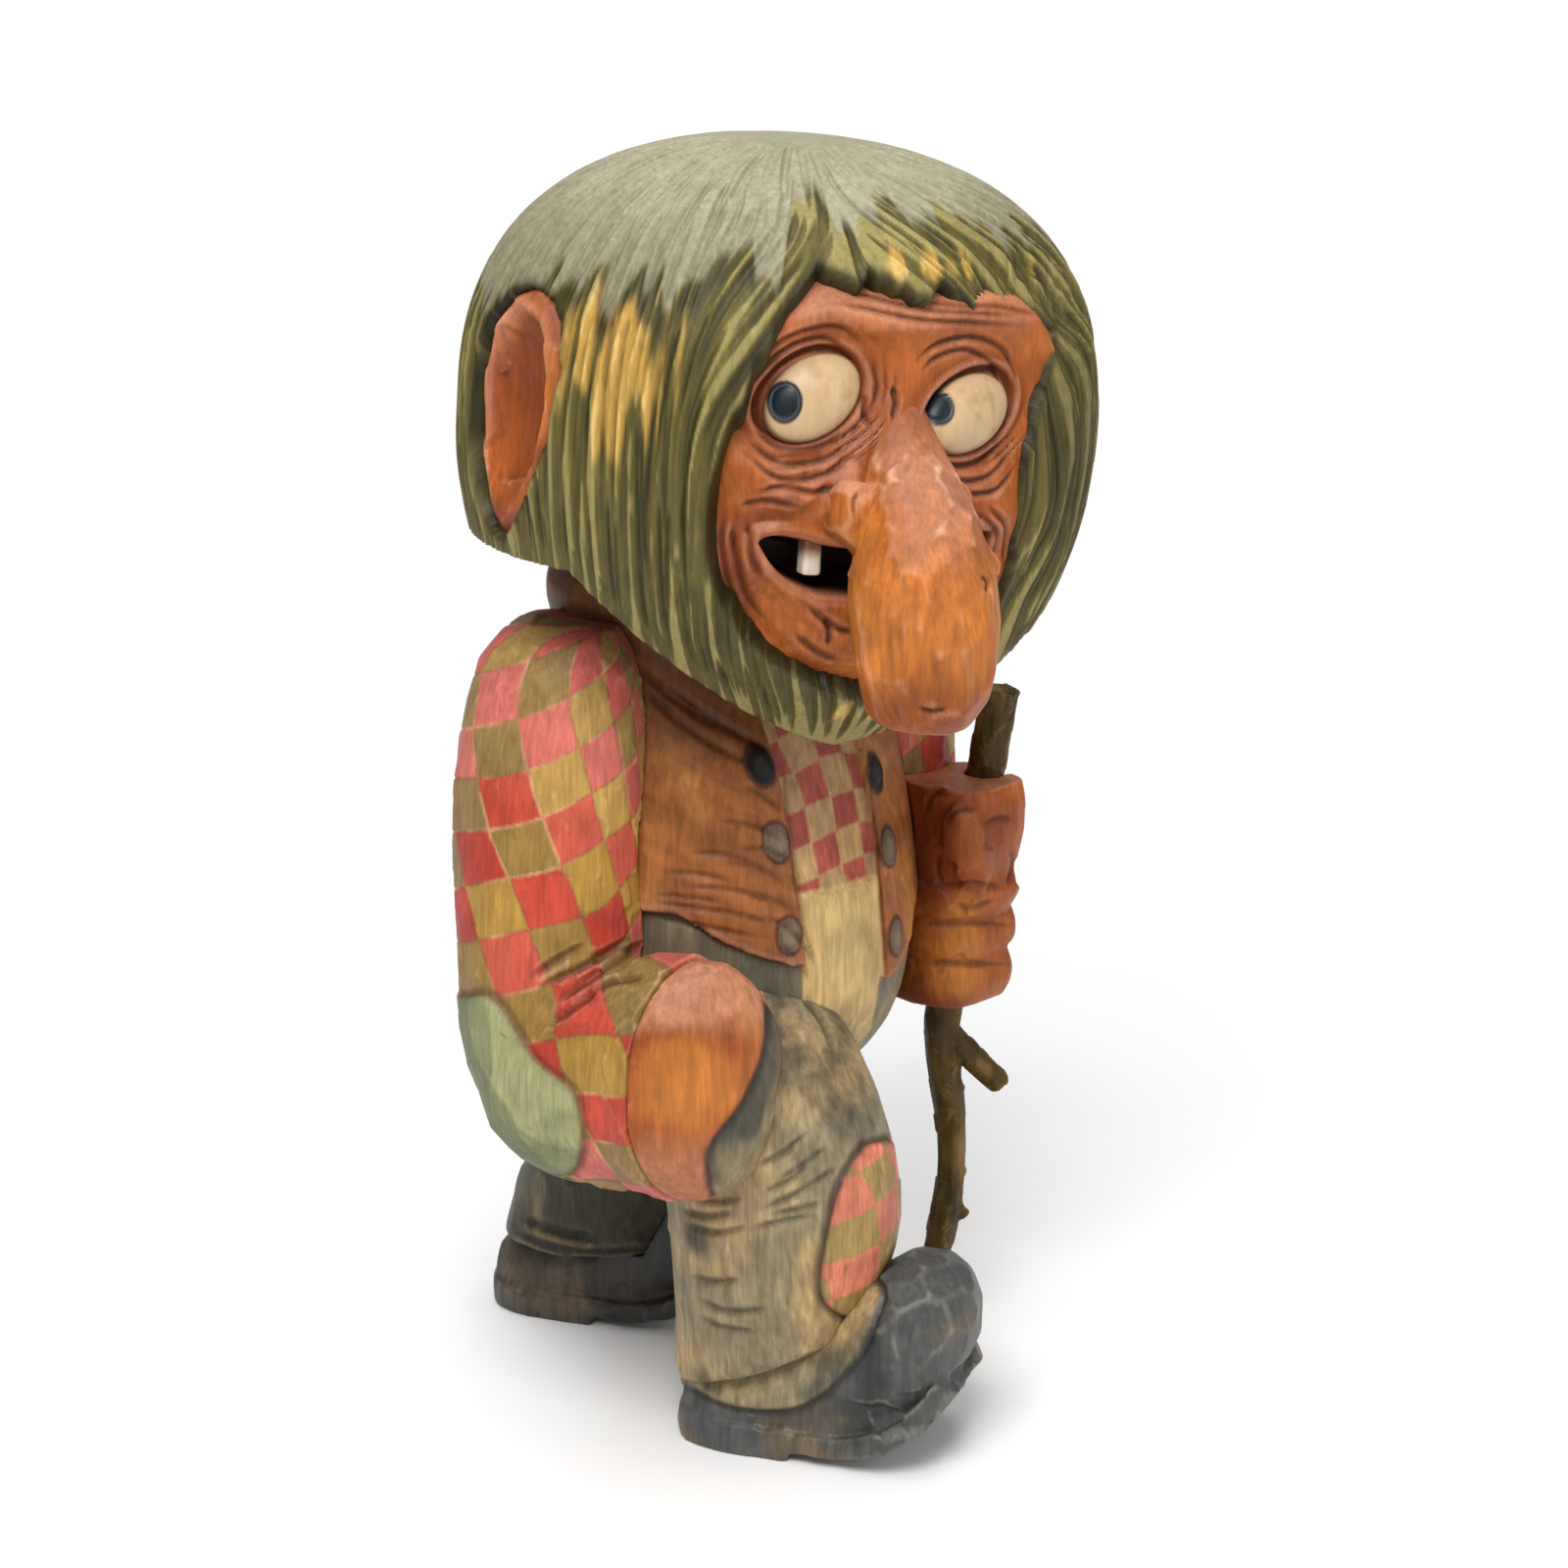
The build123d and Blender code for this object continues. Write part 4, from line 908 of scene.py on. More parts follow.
def eye(side, name, pupil_px):
    """Domed eye with a painted pupil that looks to the figure's right."""
    ex, ez = EYE_PLACES[side]
    turn = EYE_TURN * side
    across = np.array((math.cos(turn), math.sin(turn), 0.0))
    level = math.cos(EYE_LIFT)
    out = np.array((math.sin(turn) * level, -math.cos(turn) * level, math.sin(EYE_LIFT)))
    up = np.cross(out, across)
    middle = np.array((ex, egg_front(ex, ez, HAIR_DEPTH), ez))
    half_long, half_high, tilt = EYE_OVALS[side]
    c, s = math.cos(math.radians(tilt)), math.sin(math.radians(tilt))
    radius = np.linspace(0, 1, EYE_RINGS) ** 0.8
    angle = np.linspace(0, 2 * math.pi, EYE_SPOKES, endpoint=False)
    r, a = np.meshgrid(radius, angle, indexing="ij")
    u, v = (half_long + EYE_MARGIN) * r * np.cos(a), (half_high + EYE_MARGIN) * r * np.sin(a)
    u, v = u * c - v * s, u * s + v * c
    height = EYE_SUNK + EYE_DOME * np.sqrt(np.clip(1 - r**2, 0, 1)) ** 0.9
    local = middle + u[..., None] * across + v[..., None] * up + height[..., None] * out
    ball = Carving(name, head_to_figure(local.reshape(-1, 3)), round_faces(EYE_RINGS, EYE_SPOKES))
    start, ahead = head_sight(pupil_px)
    hit = start + ahead * ((middle + out * 1.2 - start) @ out) / (ahead @ out) - middle
    spot = np.hypot((u - hit @ across) / PUPIL_HALF[0], (v - hit @ up) / PUPIL_HALF[1]).ravel()
    ball.colour = blend(EYE_CREAM, EYE_SMUDGE, 0.6 * ramp(cloud(ball.points, 5.0, 51 + side), 0.1, 0.8))
    ball.tint(EYE_SMUDGE * 0.45, ramp(r.ravel(), 0.9, 1.0))
    ball.tint(PUPIL, ramp(spot, 1.06, 0.94))
    ring = ramp(spot, 0.7, 0.78) * ramp(spot, 0.9, 0.82)
    ball.tint(PUPIL_LINE, 0.45 * ring)
    ball.push(-0.35 * ring)
    return ball


TOOTH_MOVE = 1.8
TOOTH_WHITE = stain(226, 214, 196)
TOOTH_STAIN = stain(150, 96, 70)


def tooth():
    """Peg that is white at its tip and stained at its root."""
    peg = blank("tooth_peg", "tooth", 0.3, 4)
    peg.points = peg.points + TOOTH_MOVE * RIGHTWARD
    peg.update()
    z = peg.points[:, 2]
    rough = cloud(peg.points, 2.0, 61)
    peg.colour = blend(TOOTH_STAIN, TOOTH_WHITE, np.clip(ramp(z - z.min(), 7.0, 3.0) + 0.2 * rough, 0, 1))
    peg.push(0.12 * rough)
    return peg


# Nose and ears

WING_PX = (868, 524)
NOSE_SLITS_PX = (
    ((934, 722), (952, 726), (968, 722)), ((1000, 586), (1008, 594), (1006, 606)),
    ((880, 500), (870, 512), (872, 530)),
)
NOSE_STUB = (7.5, -73.0, -54.0)
NOSE_WART = (15.0, -72.0, -22.5)
UPRIGHT = (0, 0, 0)


def nose():
    """Drooping nose with nostril wings, a wart and a stub at its tip, finished with broad flat cuts."""
    wx, wy, wz = on_egg(WING_PX, 4.0)
    clay = (
        (head_to_figure((wx, wy, wz)), (5.0, 6.0, 7.5), UPRIGHT),
        (head_to_figure((-wx, wy + 3.0, wz)), (4.0, 4.0, 6.0), UPRIGHT),
        (head_to_figure(NOSE_STUB), (4.0, 3.5, 4.5), (0, 20, 0)),
        (head_to_figure(NOSE_WART), (3.4, 4.2, 4.6), UPRIGHT),
    )
    block = blank("nose_block", "nose", 0.55, 14, clay)
    tone = block.chisel(9.0, 0.85, 71, ramp(figure_to_head(block.points)[:, 2], 6, -4))
    block.relax(3)
    block.push(0.12 * noise(block.points, (3, 3, 6), 72))
    block.strokes(NOSE_SLITS_PX, 0.8, 0.7)
    local = figure_to_head(block.points)
    x, _, z = local.T
    stain_skin(block, 73)
    block.tint(SKIN_OCHRE * 1.1, 0.8 * bell(z + 32, 15) * (0.7 + 0.3 * cloud(block.points, 9, 74)))
    block.tint(SKIN_RED * 1.05, 0.6 * ramp(z, -42, -54))
    # Pink on the upward faces of the bridge: painted highlight
    bridge = ramp(z, -24, -6) * ramp(block.normals[:, 2], 0.0, 0.5) * ramp(np.abs(x - 2), 13, 8)
    block.tint(SKIN_PINK, 0.55 * bridge)
    block.tint(SKIN_RED * 0.8, 0.6 * ramp(z, -4, 8))
    for _ in range(3):
        tone = block.mean(tone)[:, 0]
    block.shade(0.86 + 0.24 * tone)
    block.shade(1 + 0.12 * noise(local, (1.4, 1.4, 10), 75))
    # Pale on the ridges: rubbed wear, and painted highlight on the bridge
    block.tint(SKIN_PALE, (0.15 + 0.45 * bridge) * block.ridge(0.008, 0.03))
    # Dark in the slits and hollows: stain gathered there, and painted shade
    block.tint(SKIN_DARK, np.clip(0.8 * block.dark + 0.5 * block.groove(0.015, 0.06), 0, 0.9))
    return block


def ear(node, name):
    """Hollowed ear, dark inside and rubbed along its rim and its top."""
    shell = rough_out(name, node, 0.6, 10, (7.0, 0.6, 81), 1)
    x, _, z = figure_to_head(shell.points).T
    depth = HEAD_HALF_WIDTH - np.abs(x) + 0.1 * np.abs(z)
    stain_skin(shell, 82)
    shell.tint(SKIN_PALE, 0.35 * shell.ridge(0.02, 0.07, 1))
    shell.tint(SKIN_RED * 0.7, 0.85 * ramp(depth, 4.0, 10.0))
    shell.tint(SKIN_PINK, 0.7 * ramp(z, 8, 24) * ramp(depth, 9, 5))
    shell.tint(SKIN_PINK, 0.5 * ramp(depth, 5.0, 2.5))
    # Dark in the grooves: stain gathered there, and painted shade
    shell.tint(SKIN_DARK, 0.55 * shell.groove(0.01, 0.06))
    shell.shade(1.25)
    return shell


# Trunk

VEST = stain(140, 84, 44)
VEST_WORN = stain(178, 120, 64)
VEST_RIM = stain(190, 142, 112)
VEST_DARK = stain(48, 22, 12)
SHIRT_PINK = stain(154, 74, 62)
SHIRT_CREAM = stain(168, 134, 90)
PANEL = stain(192, 160, 106)
PANEL_DARK = stain(108, 104, 84)
BUTTON = stain(24, 22, 20)
BUTTON_WORN = stain(58, 54, 48)
BUTTON_GREY = stain(98, 82, 66)
BUTTON_RUBBED = stain(136, 114, 90)
TROUSER = stain(132, 119, 92)
TROUSER_TAN = stain(170, 144, 100)
TROUSER_DARK = stain(52, 52, 46)
# Level of each pair of buttons, its stain and its rubbed middle: only the top pair has kept its stain
BUTTONS = (
    (163.0, BUTTON, BUTTON_WORN), (146.0, BUTTON_GREY, BUTTON_RUBBED), (124.5, BUTTON_GREY, BUTTON_RUBBED),
)
BUTTON_LEFT_DROP = 7.0
BUTTON_OUT = 16.25
BUTTON_HALF = (2.8, 4.1)
SHIRT_END = 133.0
VEST_HEM = 130.0
# How steeply the hem runs down to the front, on the figure's left and right
HEM_SLOPES = (1.28, 0.7813)
VEST_LINES_PX = (
    ((660, 934), (720, 947), (784, 958)), ((668, 922), (732, 930), (796, 944)),
    ((690, 904), (742, 908), (794, 920), (818, 938)), ((735, 880), (770, 884), (802, 902)),
    ((745, 866), (785, 867), (812, 882)), ((728, 836), (770, 842), (804, 860)),
    ((775, 932), (802, 946), (824, 968), (834, 990)), ((700, 870), (740, 872), (776, 884)),
    ((672, 890), (712, 892), (748, 900)), ((756, 800), (780, 812), (800, 832)),
    ((664, 912), (700, 916), (738, 921)), ((792, 962), (812, 980), (828, 1002)),
)
NECK_LINES_PX = (
    ((636, 668), (690, 715), (764, 756)), ((648, 694), (700, 742), (776, 786)),
    ((668, 690), (730, 735), (790, 768)),
)
VEST_EDGE_PX = (
    ((797, 764), (806, 850), (818, 930), (836, 1002)), ((884, 752), (893, 850), (900, 940), (906, 1034)),
)


def checks(s, t, size, tilt, seed):
    """Uneven hand-drawn checks: if a place has the first stain, how far its edge is, a share for its cell."""
    c, d = math.cos(math.radians(tilt)), math.sin(math.radians(tilt))
    spots = np.column_stack((s, t, 0 * s))
    s = s + 0.13 * size * noise(spots, 1.6 * size, seed)
    t = t + 0.13 * size * noise(spots, 1.6 * size, seed + 1)
    a, b = (s * c + t * d) / size, (t * c - s * d) / size
    ia, ib = np.floor(a).astype(np.int64), np.floor(b).astype(np.int64)
    edge = np.minimum.reduce((a - ia, ia + 1 - a, b - ib, ib + 1 - b)) * size
    return (ia + ib) % 2 == 0, edge, dice(ia, ib, ia * 0, seed)


def strip_middle(z):
    """Where the middle of the shirt front lies at a level."""
    return -1.0 - 0.0175 * (z - 118.0)


def trunk():
    """Belly block with the waistcoat, shirt front and trousers top."""
    block = rough_out("trunk", "torso", 0.6, 4, (11.0, 0.3, 91), 1)
    block.strokes(VEST_LINES_PX, 1.15, 0.75)
    block.strokes(NECK_LINES_PX, 1.8, 0.9)
    block.strokes(VEST_EDGE_PX, 0.8, 0.6)
    p = block.points
    x, y, z = p.T
    front = ramp(y, 11, 9)
    gap = ramp(np.abs(x - strip_middle(z)), 12.6, 11.9) * front
    off_gap = 1 - gap
    hem = np.minimum(VEST_HEM, VEST_HEM + np.where(x > -1.0, *HEM_SLOPES) * (y + 4.5))
    worn = cloud(p, (16, 16, 20), 92)
    block.colour = blend(VEST, VEST_WORN, 0.8 * ramp(worn, 0.0, 0.7))
    smear = np.column_stack((x + y, z + 0.35 * (x - y), z * 0))
    block.shade(1 + 0.26 * cloud(smear, (14, 2.4, 1), 96))
    # Painted shadow under the head over the top of the waistcoat, strongest at the front
    block.tint(VEST_DARK * 0.8, 0.9 * ramp(z + 10 * worn, 160, 182) * (0.55 + 0.45 * ramp(-y, -8, 20)))
    rose, edge, share = checks(x, z, 8.0, 6, 93)
    shirt = np.where(rose[:, None], SHIRT_PINK, SHIRT_CREAM) * (0.82 + 0.3 * share)[:, None]
    shirt = blend(shirt, SHIRT_CREAM * 1.1, 0.5 * ramp(edge, 0.5, 0.1))
    dirt = 0.6 * ramp(cloud(p, (16, 16, 20), 94) - 0.03 * (z - 114), -0.1, 0.9)
    block.tint(blend(shirt, blend(PANEL, PANEL_DARK, dirt), ramp(SHIRT_END - z, -0.6, 0.6)), gap)
    legs = blend(TROUSER, TROUSER_DARK, 0.7 * ramp(cloud(p, 22, 95), -0.5, 1.0))
    block.tint(legs, ramp(hem - z, -0.6, 0.6) * off_gap)
    for side in BOTH_SIDES:
        for level, tone, paler in BUTTONS:
            level = level - max(0, side) * BUTTON_LEFT_DROP
            cx = strip_middle(level) + side * BUTTON_OUT
            spot = np.hypot((x - cx) / BUTTON_HALF[0], (z - level) / BUTTON_HALF[1])
            block.tint(tone, ramp(spot, 1.08, 0.98) * front)
            block.tint(paler, 0.6 * ramp(spot, 0.75, 0.35) * front)
            block.tint(VEST_DARK, 0.8 * ramp(spot, 0.98, 1.06) * ramp(spot, 1.35, 1.15) * front)
    # Dark in the cuts and grooves: stain gathered there, and painted shade
    edges = np.maximum(block.groove(0.035, 0.12), 0.8 * block.dark)
    block.tint(VEST_DARK, np.clip(0.7 * edges, 0, 0.8))
    block.tint(VEST_WORN, 0.4 * block.ridge(0.03, 0.1) * off_gap)
    block.tint(VEST_RIM, 0.5 * bell(z - hem - 1.4, 0.9) * (0.6 + 0.4 * worn) * off_gap)
    # Dark line just under the hem: painted shadow of the waistcoat's edge
    block.tint(VEST_DARK, 0.7 * bell(z - hem + 0.5, 0.7) * off_gap)
    return block


# Sleeves and hands

SLEEVE_REDS = np.array((stain(182, 68, 50), stain(170, 58, 44), stain(192, 98, 84), stain(186, 82, 64)))
SLEEVE_OLIVES = np.array((stain(166, 128, 56), stain(144, 112, 56), stain(178, 140, 72), stain(136, 108, 62)))
SLEEVE_PINK = stain(200, 112, 100)
SLEEVE_DUN = stain(150, 122, 78)
SLEEVE_LINE = stain(222, 178, 136)
SLEEVE_DARK = stain(78, 36, 20)
SLEEVE_CHECK = 12.0
SLEEVE_TILT = 20
SLEEVE_ROUND = 25.0
PATCH = stain(154, 154, 108)
PATCH_DARK = stain(92, 102, 66)
ELBOW_PATCH_PX = (
    (440, 1010), (474, 1014), (496, 1013), (516, 1030), (548, 1081), (590, 1120), (592, 1190), (552, 1196),
    (500, 1160), (450, 1090),
)
ELBOW_LINES_PX = (
    ((545, 1010), (600, 984), (648, 954)), ((556, 1030), (596, 1002), (640, 972), (672, 958)),
    ((536, 1000), (572, 978), (602, 962)), ((560, 1046), (590, 1024), (612, 1008)),
    ((600, 1010), (630, 1000), (660, 996)),
)


def stain_sleeve(block, angle, seed):
    """Red and mustard checks with pale lines between them. Gives the share of the lines."""
    p = block.points
    red, edge, share = checks(SLEEVE_ROUND * angle, p[:, 2], SLEEVE_CHECK, SLEEVE_TILT, seed)
    pick = np.minimum((share * 4).astype(int), 3)
    red = red[:, None]
    wash = cloud(p, (7, 7, 9), seed + 3)
    block.colour = np.where(red, SLEEVE_REDS[pick], SLEEVE_OLIVES[pick])
    block.shade(1 + 0.22 * wash)
    # Paler high on the sleeve and on upward faces: painted highlight
    top_highlight = ramp(p[:, 2] + 8 * wash, 150, 190) + 0.5 * ramp(block.normals[:, 2], 0.3, 0.9)
    block.tint(np.where(red, SLEEVE_PINK, SLEEVE_DUN), 0.55 * np.clip(top_highlight, 0, 1))
    worn = ramp(cloud(p, 9, seed + 7), -0.2, 0.6)
    line = ramp(edge, 0.55, 0.1)
    block.tint(SLEEVE_LINE, (0.06 + 0.42 * worn) * line)
    block.tint(SLEEVE_DARK, 0.35 * (1 - worn) * ramp(edge, 0.5, 0.1))
    block.tint(SLEEVE_LINE, 0.3 * block.ridge(0.012, 0.05))
    return line


def right_sleeve():
    """Sleeve with folds in the crook of the elbow and a green patch behind it."""
    block = rough_out("right_sleeve", "right_arm", 0.55, 12, (9.0, 0.75, 101), 1)
    block.strokes(ELBOW_LINES_PX, 1.7, 1.2)
    x, y, z = block.points.T
    line = stain_sleeve(block, np.arctan2(-(y - 14.0), -(x + 42.0)), 102)
    seen, d = block.zone(ELBOW_PATCH_PX, 2.5)
    behind = ramp(block.facing, 0.28, 0.12) * ramp(z, 106, 102) * ramp(z, 62, 66)
    patch = np.maximum(seen, behind * ramp(x, -52, -55) * ramp(y, 6, 10))
    block.push(0.9 * patch - 0.25 * line * (1 - patch))
    rim = block.rim(d, 4.5)
    block.push(-0.7 * rim)
    green = blend(PATCH, PATCH_DARK, ramp(cloud(block.points, (9, 9, 12), 104), -0.1, 0.8))
    # Patch darker where it turns away: painted shade
    block.tint(blend(green, PATCH_DARK * 0.8, 0.75 * ramp(block.facing, 0.75, 0.3)), patch)
    # Dark in the elbow folds and hollows (stain and painted shade) and along the patch's seam
    fold = np.maximum.reduce((block.dark, 0.8 * rim, 0.7 * block.groove(0.035, 0.12)))
    block.tint(SLEEVE_DARK, np.clip(0.75 * fold, 0, 0.75))
    return block


def left_sleeve():
    """Plain sleeve: the photograph hides most of it."""
    block = rough_out("left_sleeve", "left_arm", 0.65, 10, (9.0, 0.75, 111), 1)
    x, y, _ = block.points.T
    block.push(-0.25 * stain_sleeve(block, np.arctan2(y - 14.0, x - 40.0), 112))
    # Dark in the grooves: stain gathered there, and painted shade
    block.tint(SLEEVE_DARK, 0.6 * block.groove(0.035, 0.12))
    return block


# Part of the hand's block that lies under the cloth of the pocket
POCKET_PX = (
    (776, 940), (781, 1000), (783, 1065), (760, 1125), (722, 1186), (760, 1260), (900, 1260), (900, 940),
)


def hand():
    """Back of the hand in the pocket, with the heart of the wood showing in its middle."""
    block = rough_out("hand", "right_hand", 0.6, 12, (9.0, 0.5, 121), 2)
    u, v = block.photo.T
    rough = cloud(block.points, 9, 123)
    heart = np.hypot((u - 706) / 54, (v - 1112) / 50) + 0.4 * rough
    stain_skin(block, 122)
    block.tint(SKIN_RED * 1.25, 0.6 * ramp(v + 22 * rough, 1040, 1070))
    block.tint(SKIN_OCHRE, 0.72 * ramp(heart, 1.3, 0.6))
    block.tint(SKIN_PINK * 0.85, 0.6 * ramp(v + 16 * rough, 1150, 1185))
    block.tint(SKIN_PINK, 0.75 * ramp(v - 16 * rough, 1068, 1030))
    block.shade(1 + 0.14 * noise(block.points, (1.2, 1.2, 9), 124))
    block.tint(SKIN_PALE, 0.35 * block.ridge(0.015, 0.06))
    # Dark in the grooves: stain gathered there, and painted shade
    block.tint(SKIN_DARK, 0.6 * block.groove(0.035, 0.12))
    pocket, d = block.zone(POCKET_PX, 1.5)
    rim = block.rim(d, 4.0)
    block.push(-0.8 * rim)
    # Pocket in the trouser stain, with painted shade towards its top under the belly
    block.tint(trouser_colour(block, LEG_SEED, 0.5 * ramp(block.points[:, 2], 70, 100)), pocket)
    block.tint(TROUSER_DARK * 0.5, 0.8 * rim)
    return block


FIST_LINES_PX = (
    ((936, 905), (985, 902), (1038, 906)), ((936, 943), (985, 941), (1038, 944)),
    ((938, 983), (985, 983), (1036, 984)), ((962, 838), (978, 826), (1000, 826)),
    ((1002, 842), (1020, 834), (1034, 836)), ((968, 920), (992, 926), (1018, 916)),
    ((958, 868), (956, 890), (966, 912)), ((1030, 860), (1034, 884), (1026, 908)),
    ((944, 830), (950, 812), (966, 804)),
)


def fist():
    """Fist with cuts between the fingers."""
    block = blank("fist", "left_fist", 0.55, 5)
    block.chisel(7.0, 0.6, 131)
    block.strokes(FIST_LINES_PX, 1.2, 0.8)
    block.relax(1)
    stain_skin(block, 132)
    block.shade(0.85 + 0.5 * ramp(block.points[:, 2], 138, 150))
    # Dark in the finger cuts and grooves: stain gathered there, and painted shade
    fold = np.maximum(0.8 * block.dark, block.groove(0.03, 0.1))
    block.tint(SKIN_DARK, np.clip(0.8 * fold, 0, 0.8))
    return block


# Legs and shoes

LEG_LINES_PX = (
    ((700, 1249), (730, 1258), (766, 1251)), ((692, 1234), (722, 1241), (752, 1236)),
    ((768, 1238), (806, 1222), (838, 1203), (856, 1190)), ((774, 1220), (806, 1204), (832, 1184)),
    ((708, 1324), (742, 1339), (790, 1335)), ((710, 1342), (736, 1355), (774, 1360)),
    ((816, 1385), (848, 1381), (874, 1362)), ((798, 1421), (842, 1408), (880, 1376)),
    ((780, 1241), (818, 1234), (840, 1227)), ((790, 1206), (822, 1188), (846, 1168)),
    ((760, 1256), (800, 1246), (832, 1240)), ((700, 1300), (726, 1308), (758, 1306)),
    ((704, 1220), (730, 1226), (760, 1222)), ((812, 1010), (838, 1040), (852, 1075)),
    ((770, 1190), (800, 1176), (828, 1152)),
)
FAR_LEG_LINES_PX = (
    ((520, 1253), (560, 1272), (610, 1280), (690, 1274)), ((528, 1240), (570, 1258), (620, 1266)),
)
KNEE_PATCH_PX = (
    (884, 1165), (855, 1210), (838, 1276), (836, 1324), (860, 1345), (886, 1336), (902, 1300), (925, 1252),
    (925, 1192), (904, 1160),
)
PATCH_PINK = stain(200, 118, 94)
PATCH_OLIVE = stain(152, 126, 76)
# Seed of the near leg's stain, which runs on over the pocket and the cuff
LEG_SEED = 142


def trouser_colour(block, seed, shade):
    """Grey stain rubbed through to the wood, with dark smears, and painted shade as much as the shade
    argument gives.
    """
    p = block.points
    base = blend(TROUSER, TROUSER_TAN, ramp(cloud(p, (22, 22, 16), seed), -0.25, 0.55))
    base = blend(base, TROUSER_DARK, 0.8 * ramp(cloud(p, (14, 14, 18), seed + 3) + shade, 0.15, 0.75))
    brush = noise(p, (1.3, 1.3, 9.0), seed + 8) + noise(p + 0.6 * p[:, ::-1], (1.2, 1.2, 6.0), seed + 9)
    return blend(base * (1 + 0.16 * brush)[:, None], TROUSER_TAN, 0.5 * block.ridge(0.02, 0.08))


def near_leg():
    """Leg with folds and a checked patch on the knee."""
    block = rough_out("near_leg", "right_leg", 0.6, 8, (10.0, 0.55, 141), 1)
    block.strokes(LEG_LINES_PX, 1.4, 1.0)
    patch, d = block.zone(KNEE_PATCH_PX, 2.5)
    block.push(0.7 * patch)
    rim = block.rim(d, 4.0)
    block.push(-0.9 * rim)
    x, y, z = block.points.T
    # Painted shade on the top of the leg, under the belly
    block.colour = trouser_colour(block, LEG_SEED, 0.3 * ramp(z, 70, 100))
    rose, _, share = checks(0.8 * x + 0.6 * y, z, 10.0, 14, 144)
    cloth = np.where(rose[:, None], PATCH_PINK, PATCH_OLIVE)
    block.tint(cloth * (0.86 + 0.24 * share)[:, None], patch)
    # Dark in the folds and hollows (stain and painted shade) and along the patch's seam
    fold = np.maximum.reduce((0.85 * block.dark, rim, 0.8 * block.groove(0.035, 0.12)))
    block.tint(TROUSER_DARK * 0.5, np.clip(0.8 * fold, 0, 0.8))
    return block


def far_leg():
    """Leg behind, darkened all over as painted shade, with folds over its shoe."""
    block = rough_out("far_leg", "left_leg", 0.9, 6, (10.0, 0.55, 151), 1)
    block.strokes(FAR_LEG_LINES_PX, 1.8, 1.2)
    # Same trouser stain as the near leg, darkened all over: painted shade
    block.colour = trouser_colour(block, 152, 1.0) * 0.6
    # Dark in the folds and hollows: stain gathered there, and painted shade
    fold = np.maximum(block.dark, 0.8 * block.groove(0.035, 0.12))
    block.tint(TROUSER_DARK * 0.5, np.clip(0.8 * fold, 0, 0.85))
    return block


SHOE = stain(72, 73, 71)
SHOE_PALE = stain(120, 119, 111)
SHOE_BROWN = stain(104, 86, 60)
SHOE_DARK = stain(26, 27, 26)
# Part of the near shoe's block that is carved as the cuff of the trousers
CUFF_PX = (
    (660, 1300), (682, 1396), (710, 1418), (746, 1436), (806, 1439), (854, 1412), (890, 1354), (880, 1300),
)


def shoe(node, name, seed, shade, cuff_px=None):
    """Charcoal shoe with broad flat cuts whose edges are rubbed pale, and a dark line over the sole; the
    shade argument paints shade over it.
    """
    block = blank(name, node, 0.6, 5)
    toe = ramp(block.photo[:, 0], 850, 900)
    block.chisel(9.0, 0.95, seed, 0.45 + 0.55 * toe)
    block.relax(2)
    p = block.points
    # The shade argument darkens the far shoe as painted shade, here and below
    bare = ramp(cloud(p, (18, 18, 12), seed + 1) + 0.5 - 0.7 * toe - 0.6 * shade, 0.0, 0.7)
    block.colour = blend(SHOE, SHOE_BROWN, 0.85 * bare)
    block.tint(SHOE_DARK, 0.7 * ramp(cloud(p, 16, seed + 4) + shade, 0.1, 0.7))
    block.tint(SHOE_PALE, (0.12 + 0.4 * toe) * block.ridge(0.014, 0.045, 1))
    # Dark in the grooves: stain gathered there, and painted shade
    block.tint(SHOE_DARK, 0.85 * block.groove(0.03, 0.11))
    if cuff_px:
        cuff, d = block.zone(cuff_px, 2.0)
        rim = block.rim(d, 4.0)
        block.push(0.9 * cuff - 0.8 * rim)
        # Cuff in the trouser stain, with a little painted shade
        block.tint(trouser_colour(block, LEG_SEED, 0.1), cuff)
        block.tint(SHOE_DARK, 0.8 * rim)
    # Darker by the shade argument: painted shade
    block.shade(1.0 - 0.55 * shade)
    block.stand()
    return block


# Staff

STAFF_WOOD = stain(74, 56, 22)
STAFF_WORN = stain(132, 100, 50)
STAFF_DARK = stain(34, 28, 14)


def staff():
    """Whittled branch with long flat cuts and a bare end."""
    block = rough_out("branch", "staff", 0.5, 3, (6.0, 0.6, 171), 0)
    p = block.points
    block.colour = blend(STAFF_WOOD, STAFF_WORN, 0.8 * ramp(cloud(p, (6, 6, 24), 172), 0.0, 0.7))
    block.tint(STAFF_DARK, 0.7 * ramp(cloud(p, (5, 5, 18), 175), 0.1, 0.7))
    block.tint(STAFF_WORN, 0.6 * block.ridge(0.02, 0.07, 1))
    block.tint(STAFF_WORN * 1.2, ramp(p[:, 2] - p[:, 2].max(), -1.2, -0.4))
    block.stand()
    return block


# Materials

GRAIN_ALONG = (1100.0, 1100.0, 90.0)
DOWEL_GRAIN = (600.0, 600.0, 50.0)
RING_SCALE = 143.0
PORE_DEPTH = 0.0006


